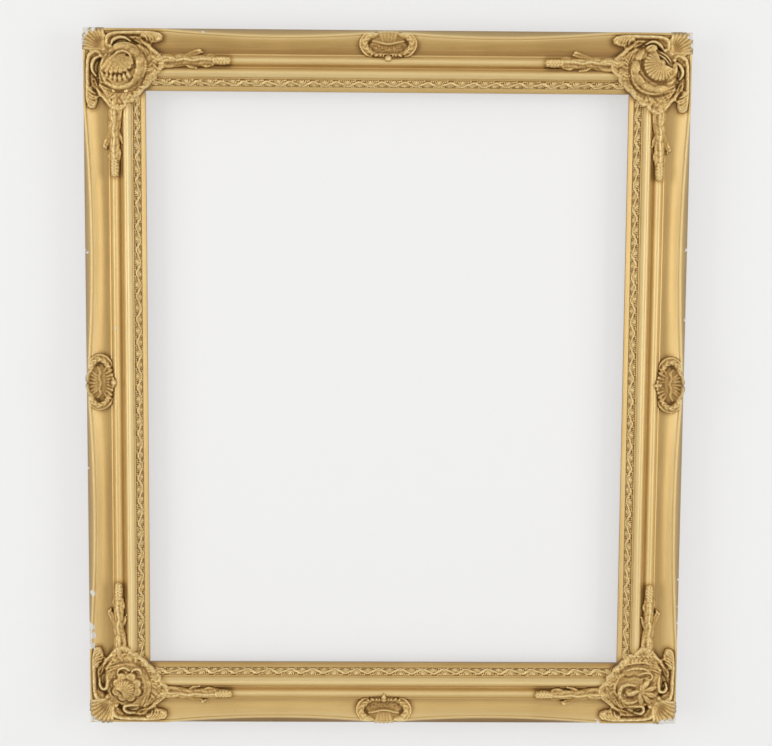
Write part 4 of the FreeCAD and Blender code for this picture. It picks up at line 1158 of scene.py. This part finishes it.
def spray_relief(seed, plumpness):
    """Arm along the torus: pod leaf at the root, twisted stems, a sprig with a knob and a scaly bud."""
    f = Relief(arm_span, arm_band, arm_step)
    shift = sweep_shift(sight_width / 2 + rail_width - f.p, sight_width)
    base = front_height(rail_width - f.q, shift)
    f.start(base, 0.4, 2.4)
    draw = np.random.default_rng(seed).uniform
    lean = draw(-0.5, 0.5)

    def at(along, aside):
        return (along + draw(-0.7, 0.7), torus_q - aside + lean + draw(-0.4, 0.4))

    def stem(points, width, height, **style):
        f.stroke([at(*point) for point in points], np.array(width) * plumpness, height, **style)

    stem([(77, 0), (88, -1), (104, 0.5), (120, 0.5), (132, 0), (144, 0)], [6.4, 5.8, 4.8, 5.2, 4.6, 3],
         [2.4, 2.5, 2.3, 2.5, 2.7, 2.2])
    stem([(78, -1), (82, 3.2), (89, 3), (97, -1)], [1.7, 2.3, 2.3, 1.3], [2.8, 4, 3.8, 2.4])
    stem([(78, -1.6), (83, -5.2), (90, -5.4), (97, -3)], [1.7, 2.2, 2.1, 1.2], [2.8, 3.8, 3.6, 2.4])
    stem([(80, -1), (87, -1.2), (94, -1.6)], [1.4, 2.3, 1.2], [3, 4, 2.8])
    stem([(74, -8.5), (82, -7.4), (91, -6.4)], [1, 1.3, 0.7], [2, 2.6, 1.4])
    stem([(92, 3), (99, 4.2), (106, 3), (113, 4)], [1.3, 1.9, 1.8, 1.2], [2.6, 3.8, 3.8, 2.8])
    stem([(95, -1), (104, 0.8), (112, -0.8), (122, 0.8), (134, 0)], [1.3, 1.9, 1.8, 1.9, 1.4],
         [3.2, 4.6, 4.2, 4.4, 3.4])
    stem([(97, -3.6), (106, -2.8), (115, -3.8), (125, -3), (134, -3.2)], [1.2, 1.7, 1.6, 1.7, 1.2],
         [2.4, 3.6, 3.4, 3.6, 2.6])
    stem([(106, 2), (116, 3.2), (126, 2.6), (135, 3)], [1.2, 1.8, 1.8, 1.2], [2.8, 4, 4, 3])
    stem([(99, 1.5), (106, 4.8), (112, 8), (117, 10.6)], [1.6, 2.3, 2.3, 1.7], [3, 4.2, 4.4, 4], hollow=0.12)
    stem([(107, 5), (114, 6.4), (120, 9.2)], [1.2, 1.8, 1.4], [2.8, 4, 3.6])
    f.dome(at(118.5, 10.6), (2.6, 2.2), 4.8)
    f.dome(at(121.5, 8.6), (1.8, 1.5), 4)
    stem([(104, -4.2), (110, -6.6), (115, -7.4)], [1.3, 1.8, 1], [2.2, 3, 2])
    f.dome(at(115.5, -8), (1.7, 1.3), 2.8)
    stem([(120, -3.8), (126, -5.4), (131, -5)], [1.2, 1.7, 0.9], [2.4, 3, 1.8])
    stem([(124, 3.8), (129, 5.6), (134, 5)], [1.2, 1.7, 0.9], [2.4, 3.2, 2])
    middle = at(bud_middle, 0)
    f.dome(middle, (10.2, 4.9), 4.4)
    for k in range(5):
        along = bud_middle - 7 + 3.3 * k
        half = 4.4 * math.sqrt(max(1 - ((along - bud_middle) / 11.5) ** 2, 0.1))
        for side in (-1, 1):
            f.dome((along, middle[1] + 0.5 * half * side), (2.6, 0.52 * half), 5, heading=30 * side)
            f.carve([(along - 1.2, middle[1]), (along + 1.4, middle[1] + 0.55 * half * side),
                     (along + 0.4, middle[1] + 1.05 * half * side)], 0.5, 1.1)
        f.dome((along + 1.6, middle[1]), (1.5, 1.1), 5.5)
    f.stroke([(132.2, middle[1] - 4.4), (133.4, middle[1]), (132.2, middle[1] + 4.4)], 1.2, [3, 5, 3])
    for along in (80, 86, 93, 101, 109, 117, 124):
        f.carve([at(along, -4.5), at(along + 2.6, 0), at(along, 4.5)], 0.5, 0.7)
    f.finish(0.15, seed)
    return f


# Centre cartouches
cartouche_step = 0.4
cartouche_span, cartouche_band = (-31, 31), (0.2, 36)


def cartouche_relief(seed):
    """Swelling oval body of a centre cartouche, its places measured from the rail's middle and outer edge."""
    f = Relief(cartouche_span, cartouche_band, cartouche_step)
    f.start(front_height(rail_width - f.q, sweep_shift(f.p, sight_width)), 1.6, 4.5)
    for _ in range(3):
        gap = np.maximum(f.base + 0.9 - f.ground, 0)
        f.ground = f.ground + blurred(gap, 1.4, cartouche_step) * 1.5
    f.swell((0, 14.5), (21, 11.5), 2.2)
    turns = np.linspace(0, 2 * math.pi, 40)[:-1]
    wide, tall = cartouche_oval
    outline = [(wide * math.cos(t), cartouche_line + tall * math.sin(t)) for t in turns]
    f.sheet(outline, 0.0, 0.4 * f.grain(2.6, seed))
    return f, np.random.default_rng(seed).uniform


def flanks(f, draw, tall):
    """C-scrolls round both ends, with crescent hollows inside them."""
    for side in (-1, 1):
        f.carve([(side * 17, 12), (side * 21.5, 14), (side * 22.5, 18.5), (side * 18, 22)], 1.8, 1.6)
        for inset, rise, half in ((0.6, 1.9, 2), (4.6, tall, 3.2)):
            scroll = [(15 - 0.3 * inset, 2.6 + 0.8 * inset), (23.5 - inset, 5 + 0.5 * inset),
                      (28.2 - inset, 11.5), (27.6 - inset, 18 - 0.2 * inset),
                      (22.5 - inset, 25 - 0.7 * inset), (17.5 - inset, 27 - 0.7 * inset)]
            f.stroke([(side * along, across) for along, across in scroll],
                     [0.7 * half, half, 1.1 * half, half, 0.6 * half],
                     [rise - 1.2, rise, rise + 0.3, rise, rise - 1.6],
                     ribs=(2.6 if inset < 1 else 5.2) + draw(-0.2, 0.4), slant=0.9)
        for along, across in ((19.2, 21.6), (16.4, 24.4), (22, 18.4), (12.8, 26)):
            f.dome((side * along, across + draw(-0.4, 0.4)), (1.5, 1.3), 4.6, heading=30 * side)


def crowned_cartouche(pointed, seed):
    """Top and bottom: fluted crown at the rim, a wavy lip over a stippled field, beads and a pendant."""
    f, draw = cartouche_relief(seed)
    f.dome((0, 15), (20, 11), 1)
    f.carve([(-13, 17.5), (-6, 19), (0, 19.4), (6, 19), (13, 17.5)], [2.6, 3.6, 3.8, 3.6, 2.6], 1.6)
    flanks(f, draw, 4)
    for lean in (-2, -1, 0, 1, 2):
        f.stroke([(2.7 * lean, 12), (3.4 * lean, 7), (4.3 * lean, 2.4)], [1.4, 2, 2.2],
                 [1.6, 2.3, 2.2], hollow=0.12)
    f.stroke([(-16, 11.4), (-11, 12.4), (-5, 13.8), (0, 14.4), (5, 13.8), (11, 12.4), (16, 11.4)],
             [0.8, 1.2, 1.3, 1.3, 1.3, 1.2, 0.8], [1.4, 2.4, 3, 3.2, 3, 2.4, 1.4])
    for side in (-1, 1):
        f.stroke([(side * 11.5, 5.2), (side * 18, 6.4), (side * 23.4, 10.6), (side * 25, 15.4)],
                 [1.6, 2.8, 3, 1.6], [1.8, 3, 3.2, 2])
    for row in range(5):
        for k in range(-7, 8):
            spot = (1.9 * k + 0.95 * (row % 2) + draw(-0.4, 0.4), 15.6 + 1.7 * row + draw(-0.3, 0.3))
            f.dome(spot, (draw(0.7, 1.1), draw(0.7, 1)), draw(0.5, 1.1))
    for along, across, size in ((-11.5, 25, 1.9), (-7.6, 25.6, 1.4), (-4.6, 26, 1.2), (4.8, 26, 1.2),
                                (7.8, 25.6, 1.4), (11.8, 25, 1.9)):
        f.dome((along, across), (size, size), 3.6)
    f.stroke([(-15, 23.8), (-8, 24), (0, 24.6), (8, 24), (15, 23.8)], 1.1, [2.2, 2.8, 3.2, 2.8, 2.2],
             ribs=2.2)
    pendant(f, pointed)
    f.finish(0.14, seed)
    return f


def pendant(f, pointed):
    """Drop at the inner end, a leaf point or a ball on a collar."""
    if pointed:
        f.stroke([(0, 25.5), (0, 29.5), (0, 32.6)], [3.2, 2.8, 0.9], [5, 4.8, 2.4])
        return
    f.dome((0, 28.6), (3.7, 3.7), 5.8)
    f.carve([(-3.4, 25.6), (0, 24.8), (3.4, 25.6)], 0.6, 1.2)
    f.dome((-0.9, 27.8), (1.3, 1.3), 6.6)


def fluted_cartouche(pointed, seed):
    """Left and right: a flame of ribs towards the rim, a swelling brow and a fluted fringe."""
    f, draw = cartouche_relief(seed)
    f.dome((0, 15), (21, 12), 1.4)
    flanks(f, draw, 4.8)
    for lean in (-3, -2, -1, 0, 1, 2, 3):
        flame = [(1.9 * lean, 14.6), (3 * lean + 0.6, 9.6), (4.4 * lean, 4.6 + 0.3 * abs(lean))]
        f.stroke(flame, [1.2, 1.9, 1.5], [1.8, 2.5, 2.2])
    f.stroke([(-16, 12), (-11, 14.6), (-5, 13.4), (1, 15.2), (7, 13.6), (12, 14.8), (16, 12)],
             [1.2, 1.8, 1.8, 1.9, 1.8, 1.8, 1.2], [1.4, 2.4, 2.6, 2.8, 2.6, 2.4, 1.4])
    f.stroke([(-13, 18.6), (-6, 18), (0, 18.8), (6, 18), (13, 18.6)], [1.6, 2.4, 2.6, 2.4, 1.6],
             [1.2, 1.9, 2.1, 1.9, 1.2])
    for lean in range(-4, 5):
        foot = (2.7 * lean, 20.4 - 0.14 * lean * lean)
        tip = (3.9 * lean, 28.2 - 0.42 * lean * lean)
        f.stroke([foot, tip], [1.4, 2.1], [1.6, 3])
        f.dome(tip, (1.9, 1.9), 3.4)
    for side, size in ((-1, 3), (1, 2.4)):
        f.stroke([(side * 3, 1.8), (side * 9, 3.4), (side * 12.5, 6)], [size, 0.8 * size, 1.2], [5, 5.2, 4.4])
    pendant(f, pointed)
    f.finish(0.15, seed)
    return f


def cartouche_place(side):
    """Turns places from a rail's middle and outer edge and a height to metres."""
    def place(p, q, height):
        return on_side(np.stack([p, rail_width - q, height], -1), side)

    return place


def fit_out(piece, nodes):
    """Lets a piece ride on the frame and stand for its nodes."""
    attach(piece, "root")
    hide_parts(*nodes)


def add_ornament(relief, name, place, node):
    """Makes a relief a gilt piece that stands for a node."""
    fit_out(relief.piece(name, place, gilt_ornament), [node])


for side in sides:
    fit_out(rail_mesh(side), ["rail_" + side])
    fit_out(strip_mesh(side), ["leaf_strip_" + side])

castings = {"bottom_left": rosette_corner, "bottom_right": scroll_corner, "top_left": shell_corner,
            "top_right": fan_corner}
casting_seed, fan_seed, arm_seed, cartouche_seed = 120, 160, 170, 190
plump_bottom, plump_top = 1.26, 1.34
for index, corner in enumerate(corner_signs):
    at_bottom = corner.startswith("bottom")
    place = corner_place(corner)
    add_ornament(castings[corner](casting_seed + index), "casting_" + corner, place,
                 "corner_casting_" + corner)
    add_ornament(fan_relief(at_bottom, fan_seed + index), "fan_" + corner, place, "corner_fan_" + corner)
    for swap, direction in ((False, "across"), (True, "upright")):
        arm = spray_relief(arm_seed + 2 * index + swap, plump_bottom if at_bottom else plump_top)
        name = corner + "_" + direction
        add_ornament(arm, "arm_" + name, corner_place(corner, swap), "spray_" + name)

for index, side in enumerate(sides):
    make = fluted_cartouche if side in ("left", "right") else crowned_cartouche
    relief = make(side in ("right", "bottom"), cartouche_seed + index)
    add_ornament(relief, "centre_" + side, cartouche_place(side), "cartouche_" + side)


# Hardware on the back
def finished(node, material):
    """Gives a plain node its material."""
    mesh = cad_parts[node].data
    mesh.materials.clear()
    mesh.materials.append(material)


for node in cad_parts:
    if node == "v_nails":
        finished(node, nail_steel)
    elif node.endswith("screws"):
        finished(node, screw_steel)
    elif node.startswith(("hanger", "turn")):
        finished(node, plated_steel)


# Stage: a wall close behind the frame and a floor under it
wall_gap = 0.0065
wall_glow = 0.47
floor_drop = 0.30
reach = 4.0


def plane(name, corners, material):
    """Four-cornered piece of the stage."""
    mesh = bpy.data.meshes.new(name)
    mesh.from_pydata(corners, [], [(0, 1, 2, 3)])
    mesh.materials.append(material)
    placed(name, mesh)


def paint(name, colour):
    """Matt paint."""
    n = Nodes(name)
    n.shader.inputs["Base Color"].default_value = colour
    n.shader.inputs["Roughness"].default_value = 0.9
    n.shader.inputs["Specular IOR Level"].default_value = 0.1
    return n


def shown_from_front(n, glow):
    """Lets a paint glow and show to the camera from its front alone, so that it shades nothing behind it."""
    n.shader.inputs["Emission Color"].default_value = (1, 1, 1, 1)
    n.shader.inputs["Emission Strength"].default_value = glow
    ray = n.add("ShaderNodeLightPath").outputs
    seen = n.most(n.most(ray["Is Camera Ray"], ray["Is Glossy Ray"]), ray["Is Transmission Ray"])
    front = n.less(1.0, n.add("ShaderNodeNewGeometry").outputs["Backfacing"])
    clear = n.add("ShaderNodeBsdfTransparent").outputs[0]
    mixed = n.add("ShaderNodeMixShader", {0: n.times(front, seen), 1: clear, 2: n.shader.outputs[0]})
    n.put(n.output.inputs["Surface"], mixed.outputs[0])


square = ((-reach, -reach), (reach, -reach), (reach, reach), (-reach, reach))
wall_paint = paint("wall_paint", (0.39, 0.39, 0.388, 1))
shown_from_front(wall_paint, wall_glow)
plane("wall", [(x, wall_gap, z) for x, z in square], wall_paint.material)
floor_level = low_corner.z - floor_drop
plane("floor", [(x, y, floor_level) for x, y in square], paint("floor_paint", (0.80, 0.79, 0.77, 1)).material)

# Plain white sky, brighter overhead than below
sky_dim, sky_bright = 0.30, 0.52
world = bpy.data.worlds.new("studio")
bpy.context.scene.world = world
world.use_nodes = True
sky = world.node_tree
background = sky.nodes["Background"].inputs
heading = sky.nodes.new("ShaderNodeTexCoord")
parts = sky.nodes.new("ShaderNodeSeparateXYZ")
level = sky.nodes.new("ShaderNodeMapRange")
level.inputs["From Min"].default_value = -0.5
level.inputs["From Max"].default_value = 0.6
level.inputs["To Min"].default_value = sky_dim
level.inputs["To Max"].default_value = sky_bright
background["Color"].default_value = (1, 1, 1, 1)
sky.links.new(heading.outputs["Generated"], parts.inputs[0])
sky.links.new(parts.outputs["Z"], level.inputs["Value"])
sky.links.new(level.outputs["Result"], background["Strength"])


def lamp(name, place, size, power):
    """Soft white lamp that faces the frame's middle."""
    data = bpy.data.lights.new(name, "AREA")
    data.shape = "RECTANGLE"
    data.size, data.size_y = size
    data.energy = power
    light = placed(name, data)
    light.location = place
    light.rotation_euler = (-Vector(place)).to_track_quat("-Z", "Y").to_euler()


lamp("key", (-0.2, -1.9, 2.0), (2.4, 1.4), 7)
lamp("front", (0.1, -3.0, 0.3), (2.2, 1.8), 7)
lamp("left", (-2.2, -1.7, 0.1), (1.2, 2.0), 30)
lamp("right", (2.2, -1.7, 0.1), (1.2, 2.0), 28)

# Camera of the photograph, 772 by 746
focal_pixels = 1500.0
image_width = 772.0
camera_place = Vector((-0.0199, -1.5777, 0.1559))
camera_pitch, camera_yaw, camera_roll = (math.radians(a) for a in (-5.329, -0.734, -0.397))
turn = (Matrix.Rotation(camera_roll, 3, "Z") @ Matrix.Rotation(camera_pitch, 3, "X")
        @ Matrix.Rotation(camera_yaw, 3, "Y"))
right, up, ahead = (Vector((row[0], row[2], row[1])) for row in turn)
camera_data = bpy.data.cameras.new("camera")
camera_data.sensor_width = 36.0
camera_data.lens = focal_pixels * camera_data.sensor_width / image_width
camera = placed("camera", camera_data)
camera.matrix_world = Matrix((
    (right.x, up.x, -ahead.x, camera_place.x),
    (right.y, up.y, -ahead.y, camera_place.y),
    (right.z, up.z, -ahead.z, camera_place.z),
    (0, 0, 0, 1)))
bpy.context.scene.camera = camera
bpy.context.scene.view_settings.view_transform = "Standard"
